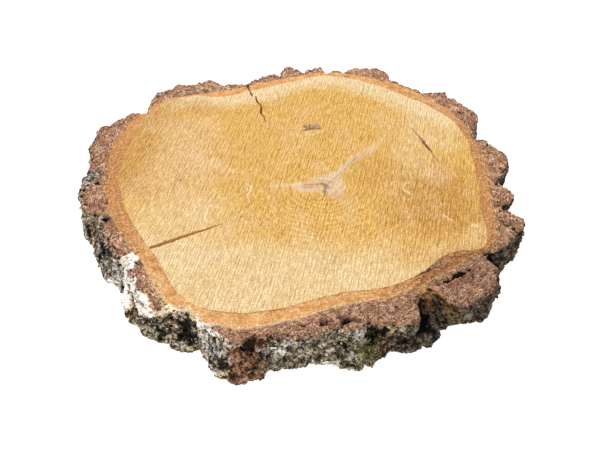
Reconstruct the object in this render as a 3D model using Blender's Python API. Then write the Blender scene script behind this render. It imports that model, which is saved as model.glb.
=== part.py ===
# A round slice of a birch trunk, sawn across the grain, with its rough old bark left on.
# Wood, inner bark and outer bark grew as one piece, so the slice is one solid: a flat sawn face
# above and below, and between them a wall of bark plates parted by seams and deep clefts.
# Metres, +Z up. It lies on its lower sawn face, the middle of its footprint over the origin.

import bpy
import bmesh
from math import atan2, ceil, cos, degrees, hypot, radians, sin
from mathutils import Matrix, Vector, noise

# Driving dimensions, in millimetres and degrees.
MILLIMETRE = 0.001
THICKNESS = 32.0                # from one saw cut to the other
MIDDLE = (0.0, -7.0)            # every reach and angle below is taken from here, 0 at +X
CORNERS_ROUND = 360             # one a degree
WALL_LEVELS = (1.9, 6.5, 11.5, 16.5, 21.5, 26.0, 30.1)      # edge loops up the bark
CAP_RINGS = (0.0, 4.0, 12.0)    # how far in from the rim the loops on each sawn face lie
SEAM_DEPTH = 2.2                # the narrow groove where two plates meet
CLEFT_SOFTNESS = 7.0            # height over which a cleft fades out at its lower end
FURROW_SPACING = 11.0           # across the bark, from one furrow to the next
FURROW_LENGTH = 46.0            # up the bark
FURROW_DEPTH = 2.4
LUMP_SIZE = 21.0
LUMP_DEPTH = 1.8
GRAIN_SIZE = 4.6
GRAIN_DEPTH = 0.9
UNSEEN_LEAN = 5.6               # most that a plate with no foot of its own leans in or out
RIM_CRUMBLE = 1.5               # most that the rim has broken away
RIM_BITE = 19.0                 # larger means shorter bites out of the rim
MEAN_REACH = 145.0
PLAIN_INSET = 0.05              # between the loops on the plain disc's caps
CRACK_LOOPS = 6.0               # between the edge loops along a crack
CRACK_WANDER = 0.7              # how far a crack strays from a straight line
CRACK_BEND = 11.0               # along a crack, from one bend to the next
CRACK_FLOOR = 0.25              # a crack's width at its floor, as a share of its mouth's
WOOD_COLOUR = (0.76, 0.50, 0.20, 1.0)

# Bark plates: where each starts, then how far it reaches along the upper cut, at even steps
# to the next plate's start, then how far its foot reaches, where that differs.
PLATES = (
    (7, (142, 151, 153, 152.5, 150, 148), (138, 147, 151, 151, 149, 147)),
    (26, (143, 150, 160, 161, 162, 161), ()),
    (45, (160, 161, 154.5, 152), ()),
    (52, (151, 150, 150, 151, 153), ()),
    (62, (153, 161, 163.5, 160.5, 157, 151), ()),
    (76, (150, 149, 146), ()),
    (81, (146, 152, 149, 145), ()),
    (88, (144.5, 149, 155.5, 146), ()),
    (95, (142, 144, 141.5, 138), ()),
    (102, (137.5, 134.5, 135, 136.5, 138), ()),
    (114, (146, 150, 150, 151), ()),
    (123, (155, 155.5, 157, 151, 145), ()),
    (140, (146, 152.5, 153.5, 155), ()),
    (150, (160, 160, 156.5, 155.5, 151), ()),
    (164, (150.5, 147.5, 146), (148, 145, 142)),
    (171, (147, 149.5, 148.5, 146), (143, 147, 147, 145)),
    (180, (142, 143, 144, 139), (144, 143, 141, 139)),
    (189, (134.5, 134.5, 135, 133), (139, 138, 137, 138)),
    (198, (131, 130.5, 130.5), (137, 133, 131)),
    (207, (127.5, 128.5, 130, 131), (131, 131, 136, 138)),
    (219, (131.5, 135.5, 140, 139, 136), (137.5, 137, 139, 136.5, 136.5)),
    (234, (132, 127, 126, 130), (136, 134.5, 133, 130)),
    (242, (131, 134.5, 136, 139, 138, 133), (129.5, 136, 143, 145, 142, 136)),
    (263, (131, 130, 131, 132.5), (131, 127, 127, 125.5)),
    (274, (130, 126, 125.5, 128, 131), (125, 124.5, 128, 133, 134.5)),
    (289, (131, 131, 132.5, 134.5, 133), (134, 129.5, 128, 132.5, 135)),
    (306, (132, 128, 126), (137, 137, 135)),
    (313, (144, 146.5, 149.5, 153, 150, 146), (135, 134, 139, 148, 148.5, 148)),
    (332, (145, 145), (148, 147)),
    (338, (143, 147, 148, 151, 150), (146, 144, 144, 148, 151)),
    (352, (147, 141.5, 144.5, 143, 140.5, 139.5, 140), (147, 142, 142, 139, 136, 135, 137)),
)

# Deep clefts: angle, half its width in degrees, depth, and the height that it reaches down to.
CLEFTS = (
    (51.5, 1.6, 4.0, 10.0),
    (139.0, 2.0, 3.0, 0.0),
    (187.5, 1.8, 4.0, 6.0),
    (203.0, 3.0, 3.0, 12.0),
    (238.5, 2.0, 2.5, 9.0),
    (259.3, 2.6, 6.5, 19.0),
    (271.5, 1.4, 3.0, 8.0),
    (290.4, 2.4, 7.5, 15.0),
    (307.0, 3.4, 8.0, 9.0),
    (334.8, 2.8, 12.0, 2.0),
    (354.6, 1.6, 3.0, 8.0),
)

# Pockets that the saw opened in the bark: angle, reach, half length, half width, depth, heading.
POCKETS = (
    (320.6, 123.5, 14.5, 1.9, 6.0, 22.0),
    (284.6, 121.0, 4.6, 2.6, 5.0, 18.0),
    (278.2, 119.8, 3.8, 2.0, 4.0, 8.0),
    (174.4, 136.6, 2.4, 2.8, 6.0, 75.0),
    (190.8, 128.2, 2.6, 3.4, 6.0, 100.0),
    (300.8, 121.2, 2.4, 1.6, 4.0, 30.0),
    (212.6, 120.6, 3.6, 1.2, 3.0, 122.0),
    (347.0, 147.0, 1.6, 1.4, 4.0, 75.0),
)

# Drying cracks in the wood: outer angle and reach, inner angle and reach, width, depth.
CRACKS = (
    ((210.2, 116.0), (211.2, 56.0), 2.3, 25.0),
    ((106.2, 131.5), (106.7, 118.0), 1.3, 15.0),
    ((105.1, 117.5), (105.4, 84.0), 1.0, 13.0),
)


def smooth_step(share):
    """Ease from 0 to 1, flat at both ends."""
    share = min(max(share, 0.0), 1.0)
    return share * share * (3.0 - 2.0 * share)


def curve_through(values, share):
    """Read a smooth curve through evenly spaced values, at a share of its length."""
    place = min(max(share, 0.0), 1.0) * (len(values) - 1)
    index = min(int(place), len(values) - 2)
    t = place - index
    before = values[max(index - 1, 0)]
    here, after = values[index], values[index + 1]
    beyond = values[min(index + 2, len(values) - 1)]
    rise_here = (after - before) / 2
    rise_after = (beyond - here) / 2
    return (here * (2 * t ** 3 - 3 * t * t + 1) + rise_here * (t ** 3 - 2 * t * t + t)
            + after * (3 * t * t - 2 * t ** 3) + rise_after * (t ** 3 - t * t))


def plate_at(angle):
    """The plate that an angle lies in, and the share of the way along it."""
    first = PLATES[0][0]
    turned = (angle - first) % 360.0
    for index, (start, top, foot) in enumerate(PLATES):
        following = PLATES[index + 1][0] if index + 1 < len(PLATES) else first + 360
        if start - first <= turned < following - first:
            return index, (turned - (start - first)) / (following - start)


def plate_reach(angle, height):
    """How far the plates reach, leaning evenly from the foot to the upper cut."""
    index, share = plate_at(angle)
    start, top, foot = PLATES[index]
    upper = curve_through(top, share)
    if foot:
        lower = curve_through(foot, share)
    else:
        lower = upper + UNSEEN_LEAN * noise.noise(Vector((start * 0.37, 2.6, 4.1)))
    reach = lower + (upper - lower) * smooth_step(height / THICKNESS)
    if share == 0.0:
        reach = min(reach, PLATES[index - 1][1][-1]) - SEAM_DEPTH
    return reach


def cleft_depth(angle, height):
    """How deep the clefts bite at a place on the wall."""
    depth = 0.0
    for middle, half_width, full_depth, lowest in CLEFTS:
        off = abs((angle - middle + 180.0) % 360.0 - 180.0) / half_width
        if off < 1.0:
            fade = smooth_step((height - lowest) / CLEFT_SOFTNESS) if lowest > 0 else 1.0
            depth = max(depth, full_depth * (1.0 - off ** 1.5) * fade)
    return depth


def bark_relief(angle, height):
    """Furrows that run up the bark, lumps, and a coarse grain."""
    x = cos(radians(angle)) * MEAN_REACH
    y = sin(radians(angle)) * MEAN_REACH
    furrow = noise.noise(Vector((x / FURROW_SPACING, y / FURROW_SPACING, height / FURROW_LENGTH)))
    lump = noise.noise(Vector((x / LUMP_SIZE, y / LUMP_SIZE, height / LUMP_SIZE + 7.0)))
    grain = noise.noise(Vector((x / GRAIN_SIZE, y / GRAIN_SIZE, height / GRAIN_SIZE + 3.0)))
    return FURROW_DEPTH * (0.6 - abs(furrow) * 2.0) + LUMP_DEPTH * lump + GRAIN_DEPTH * grain


def wall_reach(angle, height):
    """How far the bark reaches at an angle and a height."""
    return plate_reach(angle, height) - cleft_depth(angle, height) + bark_relief(angle, height)


def crumble(angle, side):
    """How much of the rim has broken away, between nothing and RIM_CRUMBLE."""
    spot = Vector((cos(radians(angle)) * RIM_BITE, sin(radians(angle)) * RIM_BITE, side * 5.0))
    return RIM_CRUMBLE * min(max(0.45 + noise.noise(spot), 0.1), 1.0)


def spot_at(angle, reach, height):
    """A point in metres from its angle, reach and height in millimetres."""
    return MILLIMETRE * Vector((MIDDLE[0] + reach * cos(radians(angle)),
                                MIDDLE[1] + reach * sin(radians(angle)), height))


def shape_corner(corner):
    """Move a corner of the plain disc, one unit wide and high, to its place on the slice."""
    angle = round(degrees(atan2(corner.co.y, corner.co.x)) * CORNERS_ROUND / 360.0)
    angle = (angle * 360.0 / CORNERS_ROUND) % 360.0
    height = (corner.co.z + 0.5) * THICKNESS
    upper = height > THICKNESS - 0.01
    lower = height < 0.01
    reach = wall_reach(angle, height)
    if upper or lower:
        ring = round((1.0 - hypot(corner.co.x, corner.co.y)) / PLAIN_INSET)
        broken = crumble(angle, 1 if upper else -1) if ring == 0 else 0.0
        reach -= CAP_RINGS[ring] + broken * 0.8
        height += -broken if upper else broken
    corner.co = spot_at(angle, reach, height)


def make_material(name, colour, roughness):
    """A plain finish for a node."""
    material = bpy.data.materials.new(name)
    material.use_nodes = True
    shader = material.node_tree.nodes["Principled BSDF"]
    shader.inputs["Base Color"].default_value = colour
    shader.inputs["Roughness"].default_value = roughness
    shader.inputs["Metallic"].default_value = 0.0
    material.diffuse_color = colour
    return material


def add_object(name, bm, collection):
    """Turn a bmesh into an object in a collection."""
    mesh = bpy.data.meshes.new(name)
    bm.to_mesh(mesh)
    bm.free()
    made = bpy.data.objects.new(name, mesh)
    collection.objects.link(made)
    return made


def make_slice(collection):
    """The slice before its cracks: a disc with loops up its wall and round each sawn face."""
    bm = bmesh.new()
    bmesh.ops.create_cone(bm, cap_ends=True, cap_tris=False, segments=CORNERS_ROUND,
                          radius1=1.0, radius2=1.0, depth=1.0)
    for level in WALL_LEVELS:
        everything = bm.verts[:] + bm.edges[:] + bm.faces[:]
        bmesh.ops.bisect_plane(bm, geom=everything, plane_co=(0, 0, level / THICKNESS - 0.5),
                               plane_no=(0, 0, 1))
    for side in (-1, 1):
        for _ in CAP_RINGS[1:]:
            cap = max(bm.faces, key=lambda face: side * face.calc_center_median().z
                      + (0.1 if len(face.verts) > 4 else 0.0))
            bmesh.ops.inset_region(bm, faces=[cap], thickness=PLAIN_INSET, use_even_offset=True)
    for corner in bm.verts:
        shape_corner(corner)
    bmesh.ops.recalc_face_normals(bm, faces=bm.faces)
    return add_object("wood_slice", bm, collection)


def make_pocket(index, pocket, collection):
    """A cutter for one pocket: an uneven oval lying across the upper cut."""
    angle, reach, half_length, half_width, depth, heading = pocket
    bm = bmesh.new()
    bmesh.ops.create_uvsphere(bm, u_segments=14, v_segments=8, radius=1.0)
    turn = Matrix.Rotation(radians(heading), 3, "Z")
    for corner in bm.verts:
        swell = 1.0 + 0.35 * noise.noise(corner.co * 1.7 + Vector((index * 3.1, 0, 0)))
        local = Vector((corner.co.x * half_length, corner.co.y * half_width, corner.co.z * depth))
        corner.co = spot_at(angle, reach, THICKNESS) + turn @ local * swell * MILLIMETRE
    return add_object(f"pocket_cutter_{index}", bm, collection)


def make_crack(index, crack, collection):
    """A cutter for one drying crack: a wandering wedge, narrower inwards and downwards."""
    (outer_angle, outer_reach), (inner_angle, inner_reach), width, depth = crack
    start = spot_at(outer_angle, outer_reach, THICKNESS) / MILLIMETRE
    end = spot_at(inner_angle, inner_reach, THICKNESS) / MILLIMETRE
    along = (end - start).normalized()
    across = Vector((-along.y, along.x, 0.0))
    length = (end - start).length
    pieces = max(4, ceil(length / CRACK_LOOPS))
    bm = bmesh.new()
    bmesh.ops.create_cube(bm, size=1.0)
    for step in range(1, pieces):
        everything = bm.verts[:] + bm.edges[:] + bm.faces[:]
        bmesh.ops.bisect_plane(bm, geom=everything, plane_co=(step / pieces - 0.5, 0, 0),
                               plane_no=(1, 0, 0))
    for corner in bm.verts:
        share = corner.co.x + 0.5
        deep = corner.co.z < 0
        gape = width * (1.0 - 0.85 * share ** 1.6) * min(1.0, 0.35 + 5.0 * share)
        gape *= CRACK_FLOOR if deep else 1.0
        wander = CRACK_WANDER * noise.noise(Vector((share * length / CRACK_BEND, index * 5.3, 0.4)))
        drop = -depth * (1.0 - 0.6 * share) if deep else 1.0
        corner.co = MILLIMETRE * (start + along * share * length
                                  + across * (wander + corner.co.y * gape) + Vector((0, 0, drop)))
    return add_object(f"crack_cutter_{index}", bm, collection)


def cut(target, cutter):
    """Take a cutter's shape out of the target."""
    cutter.hide_render = True
    cutter.display_type = "WIRE"
    difference = target.modifiers.new(cutter.name, "BOOLEAN")
    difference.operation = "DIFFERENCE"
    difference.object = cutter


def main():
    for old in list(bpy.data.objects):
        bpy.data.objects.remove(old, do_unlink=True)
    parts = bpy.data.collections.new("wood_slice")
    cutters = bpy.data.collections.new("cutters")
    for collection in (parts, cutters):
        bpy.context.scene.collection.children.link(collection)
    wood_slice = make_slice(parts)
    wood_slice.data.materials.append(make_material("sawn_birch", WOOD_COLOUR, 0.75))
    wood_slice.data.shade_smooth()
    wood_slice.data.set_sharp_from_angle(angle=radians(35))
    for index, pocket in enumerate(POCKETS):
        cut(wood_slice, make_pocket(index, pocket, cutters))
    for index, crack in enumerate(CRACKS):
        cut(wood_slice, make_crack(index, crack, cutters))


main()
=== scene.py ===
# A crosscut slice of birch with its bark on: finished pieces, their materials and the studio
import math
import random

import bmesh
import bpy
from mathutils import Matrix, Vector, noise
from mathutils.bvhtree import BVHTree


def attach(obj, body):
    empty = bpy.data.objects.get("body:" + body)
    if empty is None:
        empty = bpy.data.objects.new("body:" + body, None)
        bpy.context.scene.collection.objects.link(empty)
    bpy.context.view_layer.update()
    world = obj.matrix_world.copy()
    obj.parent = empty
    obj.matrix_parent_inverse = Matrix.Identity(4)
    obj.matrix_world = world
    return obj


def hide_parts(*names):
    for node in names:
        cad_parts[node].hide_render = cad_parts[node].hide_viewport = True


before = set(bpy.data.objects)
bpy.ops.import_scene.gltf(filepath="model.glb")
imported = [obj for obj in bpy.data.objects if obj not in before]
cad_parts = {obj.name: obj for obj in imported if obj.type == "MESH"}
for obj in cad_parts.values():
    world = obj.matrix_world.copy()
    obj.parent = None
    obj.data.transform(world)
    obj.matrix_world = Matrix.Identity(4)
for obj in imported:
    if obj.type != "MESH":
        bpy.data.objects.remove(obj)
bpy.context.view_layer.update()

mm = 0.001
middle = Vector((0.0, -7.0, 0.0))  # mm, the point that every angle and reach is measured from
thickness = 32.0
tableSteps = 1440  # places round the slice at which a line or the wall is kept
barkReach = 140.0  # mm, about how far out the bark lies, which turns angles into lengths round the slice
noise.seed_set(7)  # noise vectors would otherwise differ from run to run


def smoothStep(share):
    share = min(max(share, 0.0), 1.0)
    return share * share * (3.0 - 2.0 * share)


def blend(low, high, share):
    return low + (high - low) * share


def spotAt(angle, reach, height):
    turn = math.radians(angle)
    return middle + Vector((math.cos(turn) * reach, math.sin(turn) * reach, height))


def noiseAt(spot, size, shift=(0.0, 0.0, 0.0)):
    return noise.noise(spot / size + Vector(shift))


def holeAt(spot, size, shift, least, soft):
    # one inside scattered blots and nothing between them
    return smoothStep((noiseAt(spot, size, shift) - least) / soft)


def creaseAt(spot, size, shift, width):
    # one along winding lines and nothing between them
    return 1.0 - smoothStep(abs(noiseAt(spot, size, shift)) / width)


def smoothLine(points):
    # a closed curve through pairs of angle and value, kept at tableSteps places
    stops = sorted(points.items())
    count = len(stops)
    table = []
    for step in range(tableSteps):
        angle = step * 360.0 / tableSteps
        after = sum(1 for stop, value in stops if stop <= angle)
        near = [stops[(after + shift) % count] for shift in (-2, -1, 0, 1)]
        gaps = [(near[i + 1][0] - near[i][0]) % 360.0 for i in range(3)]
        values = [value for stop, value in near]
        share = ((angle - near[1][0]) % 360.0) / gaps[1]
        slopeIn = (values[2] - values[0]) / (gaps[0] + gaps[1]) * gaps[1]
        slopeOut = (values[3] - values[1]) / (gaps[1] + gaps[2]) * gaps[1]
        a = 2 * share ** 3 - 3 * share ** 2 + 1
        b = share ** 3 - 2 * share ** 2 + share
        c = -2 * share ** 3 + 3 * share ** 2
        d = share ** 3 - share ** 2
        table.append(a * values[1] + b * slopeIn + c * values[2] + d * slopeOut)
    return table


def lineAt(table, angle):
    place = (angle % 360.0) * len(table) / 360.0
    low = int(place)
    share = place - low
    return blend(table[low % len(table)], table[(low + 1) % len(table)], share)


# Camera: 42 degrees above the table, as the photograph was taken
view = {"target": Vector((3.0, -20.2, 15.8)), "distance": 805.07, "rise": 42.0, "lens": 71.17, "sensor": 36.0}


def placeCamera():
    data = bpy.data.cameras.new("camera")
    data.lens = view["lens"]
    data.sensor_width = view["sensor"]
    camera = bpy.data.objects.new("camera", data)
    rise = math.radians(view["rise"])
    back = Vector((0.0, -math.cos(rise), math.sin(rise)))
    camera.location = (view["target"] + back * view["distance"]) * mm
    camera.rotation_euler = (math.pi / 2 - rise, 0.0, 0.0)
    bpy.context.scene.collection.objects.link(camera)
    bpy.context.scene.camera = camera


placeCamera()
print("camera placed")

# Where wood, inner bark and outer bark meet, as reaches in mm at each angle
woodEdge = smoothLine({
    0: 125, 10: 126, 15: 129, 20: 131, 25: 136, 30: 138, 35: 141, 45: 141, 55: 140, 65: 141.5, 75: 142.5,
    82: 141.5, 85: 139, 90: 133.5, 95: 130, 100: 127, 107: 125, 115: 125, 120: 130.5, 125: 139.5,
    132: 143, 140: 142, 145: 138, 150: 133, 160: 128, 170: 124, 175: 121, 180: 118, 190: 113, 195: 111,
    200: 109, 210: 108, 215: 107.5, 220: 110, 225: 113, 232: 118, 240: 120.5, 245: 119, 250: 116.5,
    255: 114, 260: 110, 265: 107, 270: 103.5, 277: 99, 285: 97.5, 292: 98.5, 300: 103, 310: 107.5,
    320: 110, 327: 112, 332: 118, 335: 128, 337: 131.5, 341: 132, 347: 128, 352: 124.5})
innerEdge = smoothLine({
    0: 131.5, 10: 133.5, 20: 137, 30: 142.5, 40: 147, 50: 148, 60: 149, 65: 148, 75: 148, 82: 146,
    90: 140, 95: 136, 100: 133.5, 105: 131.5, 110: 130.5, 115: 132, 120: 135, 125: 139, 130: 144.2,
    135: 146.8, 139: 144.5, 145: 145, 150: 143, 155: 141, 160: 138, 165: 135, 170: 132, 180: 128,
    190: 123, 200: 119, 210: 117, 217: 118, 225: 123, 230: 126, 235: 128, 245: 129, 255: 127, 260: 123,
    265: 119, 272: 113.5, 280: 109, 287: 107.2, 295: 109.5, 302: 113.5, 310: 115, 320: 119, 327: 122.5,
    332: 127.5, 337: 134.5, 342: 136, 350: 133.8, 355: 131.7})

# The wall is read from the CAD node, so that the finer bark keeps its form. At every 3 degrees this adds,
# in mm, what the broken rim and the relief need to stand where the solid stands
outlineTrim = [
    3.8, 3.9, 0.6, -1.6, -1.1, 0.3, 1.2, 1.0, 0.1, -1.7, -2.5, -1.5, -0.5, -0.1, 0.6, 2.2, 3.8, 4.1, 3.3, 1.8,
    2.0, 2.3, 0.8, 0.3, 0.1, 0.5, 1.2, 2.4, 2.2, 1.1, 0.1, -1.3, -1.3, 1.7, 3.6, 2.9, 2.5, 2.7, 2.9, 1.8,
    1.0, 1.2, 0.4, -0.0, 0.0, -0.0, 0.7, 2.0, 1.1, 0.8, 1.5, 1.0, 1.3, 1.7, 1.1, 0.9, 0.9, -1.1, -3.5, -2.2,
    1.4, 1.9, 1.3, -0.2, -1.5, -1.1, 0.9, 2.0, 1.9, 0.1, -2.5, -2.2, -0.3, 0.5, 0.2, -0.5, -1.2, 0.8, 0.9,
    0.4,
    0.4, -1.7, -1.9, 0.2, 1.0, 1.1, 0.6, -0.1, -0.2, -0.0, 1.0, 1.5, 0.9, 0.1, -0.0, 1.2, 2.1, 1.9, 1.1, 2.1,
    3.6, 3.6, 3.4, 0.5, 0.3, 2.2, 2.3, 2.6, 1.1, -0.7, 0.2, 0.4, 0.1, -0.4, -0.6, 1.1, 2.4, 1.7, 0.2, 0.4]
wall = {"lowest": 0.6, "highest": 29.9, "levels": 40, "outside": 200.0}


def readWall():
    source = bmesh.new()
    source.from_mesh(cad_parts["wood_slice"].data)
    tree = BVHTree.FromBMesh(source)
    rows = []
    for level in range(wall["levels"]):
        height = blend(wall["lowest"], wall["highest"], level / (wall["levels"] - 1))
        row = []
        for step in range(tableSteps):
            angle = step * 360.0 / tableSteps
            start = spotAt(angle, wall["outside"], height) * mm
            inward = (spotAt(angle, 0.0, height) * mm - start).normalized()
            hit = tree.ray_cast(start, inward)[0]
            row.append(wall["outside"] - (hit - start).length / mm)
        for turn in range(3):  # takes the facets off
            row = [0.25 * row[i - 1] + 0.5 * row[i] + 0.25 * row[(i + 1) % tableSteps]
                   for i in range(tableSteps)]
        rows.append(row)
    source.free()
    return rows


wallRows = readWall()
print("wall read from the node")


def wallAt(angle, height):
    place = (height - wall["lowest"]) / (wall["highest"] - wall["lowest"]) * (wall["levels"] - 1)
    place = min(max(place, 0.0), wall["levels"] - 1.001)
    low = int(place)
    reach = blend(lineAt(wallRows[low], angle), lineAt(wallRows[low + 1], angle), place - low)
    return reach + lineAt(outlineTrim, angle)


def barkStart(angle, height):
    # outer bark begins here, and is never thinner than a rind
    ragged = 0.7 * noiseAt(spotAt(angle, 60.0, 3.0), 2.0) + 1.3 * noiseAt(spotAt(angle, 60.0, 9.0), 6.5)
    return min(lineAt(innerEdge, angle) + ragged, wallAt(angle, blend(1.0, 30.0, height / thickness)) - 1.8)


def woodEnd(angle, height):
    ragged = 0.45 * noiseAt(spotAt(angle, 60.0, 21.0), 3.5)
    return min(lineAt(woodEdge, angle) + ragged, barkStart(angle, height) - 1.2)


def addObject(name, bm):
    mesh = bpy.data.meshes.new(name)
    bm.to_mesh(mesh)
    bm.free()
    made = bpy.data.objects.new(name, mesh)
    bpy.context.scene.collection.objects.link(made)
    return made


def addPiece(name, bm, material, smooth=True):
    for face in bm.faces:
        face.smooth = smooth
    piece = addObject(name, bm)
    piece.data.materials.append(material)
    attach(piece, "root")
    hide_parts("wood_slice")
    print(name, "made,", sum(len(face.vertices) - 2 for face in piece.data.polygons), "triangles")
    return piece


def toLinear(hexColour):
    channels = [int(hexColour[i:i + 2], 16) / 255.0 for i in (1, 3, 5)]
    return tuple(c / 12.92 if c <= 0.04045 else ((c + 0.055) / 1.055) ** 2.4 for c in channels) + (1.0,)


def addNode(tree, kind, settings, sockets, output=0):
    # settings are the node's own choices, sockets are numbers or links, and the answer is one output
    node = tree.nodes.new(kind)
    for name, value in settings.items():
        if name == "stops":
            ramp = node.color_ramp
            ramp.elements[0].position, ramp.elements[0].color = value[0][0], toLinear(value[0][1])
            ramp.elements[-1].position, ramp.elements[-1].color = value[-1][0], toLinear(value[-1][1])
            for place, colour in value[1:-1]:
                ramp.elements.new(place).color = toLinear(colour)
        else:
            setattr(node, name, value)
    for key, value in sockets.items():
        if isinstance(value, bpy.types.NodeSocket):
            tree.links.new(value, node.inputs[key])
        else:
            node.inputs[key].default_value = value
    return node.outputs[output] if len(node.outputs) else node


def mathNode(tree, operation, *values, clamp=False):
    settings = {"operation": operation, "use_clamp": clamp}
    return addNode(tree, "ShaderNodeMath", settings, dict(enumerate(values)))


def vectorNode(tree, operation, *values):
    # lengths and dot products come out of the second socket
    output = 1 if operation in ("LENGTH", "DOT_PRODUCT") else 0
    return addNode(tree, "ShaderNodeVectorMath", {"operation": operation}, dict(enumerate(values)), output)


def scaledNode(tree, vector, amount):
    return addNode(tree, "ShaderNodeVectorMath", {"operation": "SCALE"}, {0: vector, "Scale": amount})


def rangeNode(tree, value, low, high, first, last, kind="LINEAR"):
    # carries a value from low and high over to first and last
    return addNode(tree, "ShaderNodeMapRange", {"interpolation_type": kind},
                   {0: value, 1: low, 2: high, 3: first, 4: last})


def smoothNode(tree, value, low, high, first, last):
    return rangeNode(tree, value, low, high, first, last, "SMOOTHSTEP")


def noiseNode(tree, place, scale, detail=2.0, roughness=0.5, distortion=0.0, output=0):
    sockets = {"Vector": place, "Scale": scale, "Detail": detail, "Roughness": roughness,
               "Distortion": distortion}
    return addNode(tree, "ShaderNodeTexNoise", {}, sockets, output)


def drawnNoise(tree, place, draw, detail=2.0, roughness=0.5, distortion=0.0):
    # noise drawn out by its own factor along each axis
    return noiseNode(tree, vectorNode(tree, "MULTIPLY", place, draw), 1.0, detail, roughness, distortion)


def mixNode(tree, amount, under, over):
    # lays a colour over another, by hex code or link
    over = toLinear(over) if isinstance(over, str) else over
    return addNode(tree, "ShaderNodeMix", {"data_type": "RGBA"}, {0: amount, 6: under, 7: over}, 2)


def fadeNode(tree, amount, first, last):
    return addNode(tree, "ShaderNodeMix", {"data_type": "FLOAT"}, {0: amount, 2: first, 3: last})


def rampNode(tree, value, stops):
    return addNode(tree, "ShaderNodeValToRGB", {"stops": stops}, {0: value})


def layerNode(tree, name):
    # the value that a mesh carries in a layer of its points
    return addNode(tree, "ShaderNodeAttribute", {"attribute_name": name}, {}, 2)


def axisNode(tree, vector, axis):
    return addNode(tree, "ShaderNodeSeparateXYZ", {}, {0: vector}, "XYZ".index(axis))


def joinNode(tree, x, y, z):
    return addNode(tree, "ShaderNodeCombineXYZ", {}, {0: x, 1: y, 2: z})


def newMaterial(name):
    # an empty material and its points in millimetres
    material = bpy.data.materials.new(name)
    material.use_nodes = True
    tree = material.node_tree
    tree.nodes.clear()
    place = addNode(tree, "ShaderNodeTexCoord", {}, {}, 3)
    return material, tree, scaledNode(tree, place, 1000.0)


def finishMaterial(tree, colour, roughness, specular, height, depth):
    # the shader, with its bump depth in mm, held down a little for the bright studio
    colour = scaledNode(tree, colour, 0.9)
    bump = addNode(tree, "ShaderNodeBump", {}, {"Strength": 1.0, "Distance": depth * mm, "Height": height})
    shader = addNode(tree, "ShaderNodeBsdfPrincipled", {}, {
        "Base Color": colour, "Roughness": roughness, "Specular IOR Level": specular, "Normal": bump})
    addNode(tree, "ShaderNodeOutputMaterial", {}, {"Surface": shader})


def strokeGroup():
    # how much of a point lies in a tapering stroke between two places, all in mm
    group = bpy.data.node_groups.new("strokeMask", "ShaderNodeTree")
    for name in ("Point", "From", "To"):
        group.interface.new_socket(name=name, in_out="INPUT", socket_type="NodeSocketVector")
    for name in ("Wide", "WideEnd", "Soft"):
        group.interface.new_socket(name=name, in_out="INPUT", socket_type="NodeSocketFloat")
    group.interface.new_socket(name="Amount", in_out="OUTPUT", socket_type="NodeSocketFloat")
    entry = addNode(group, "NodeGroupInput", {}, {}).node.outputs
    fromStart = vectorNode(group, "SUBTRACT", entry["Point"], entry["From"])
    line = vectorNode(group, "SUBTRACT", entry["To"], entry["From"])
    along = vectorNode(group, "DOT_PRODUCT", fromStart, line)
    length = vectorNode(group, "DOT_PRODUCT", line, line)
    share = mathNode(group, "DIVIDE", along, length, clamp=True)
    foot = scaledNode(group, line, share)
    apart = vectorNode(group, "SUBTRACT", fromStart, foot)
    off = vectorNode(group, "LENGTH", apart)
    wide = rangeNode(group, share, 0.0, 1.0, entry["Wide"], entry["WideEnd"])
    past = mathNode(group, "SUBTRACT", off, wide)
    amount = mathNode(group, "DIVIDE", past, entry["Soft"])
    amount = smoothNode(group, amount, -1.0, 1.0, 1.0, 0.0)
    addNode(group, "NodeGroupOutput", {}, {"Amount": amount})
    return group


def strokeNode(tree, place, start, end, wide, wideEnd, soft):
    group = bpy.data.node_groups.get("strokeMask") or strokeGroup()
    return addNode(tree, "ShaderNodeGroup", {"node_tree": group}, {
        "Point": place, "From": start, "To": end, "Wide": wide, "WideEnd": wideEnd, "Soft": soft})


def addMarks(tree, place, colour, marks):
    # paints a list of tapering strokes over a colour
    for fromX, fromY, toX, toY, wide, wideEnd, soft, hexColour, strength in marks:
        amount = strokeNode(tree, place, (fromX, fromY, 0.0), (toX, toY, 0.0), wide, wideEnd, soft)
        amount = mathNode(tree, "MULTIPLY", amount, strength)
        colour = mixNode(tree, amount, colour, hexColour)
    return colour


def waveringPlace(tree, place, size, reach):
    # the place in mm, flattened and pushed about so that no mark has a ruled edge
    waver = noiseNode(tree, place, 1.0 / size, 2.0, output=1)
    waver = vectorNode(tree, "SUBTRACT", waver, (0.5, 0.5, 0.5))
    waver = scaledNode(tree, waver, reach)
    bent = vectorNode(tree, "ADD", place, waver)
    return vectorNode(tree, "MULTIPLY", bent, (1.0, 1.0, 0.0))


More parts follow.
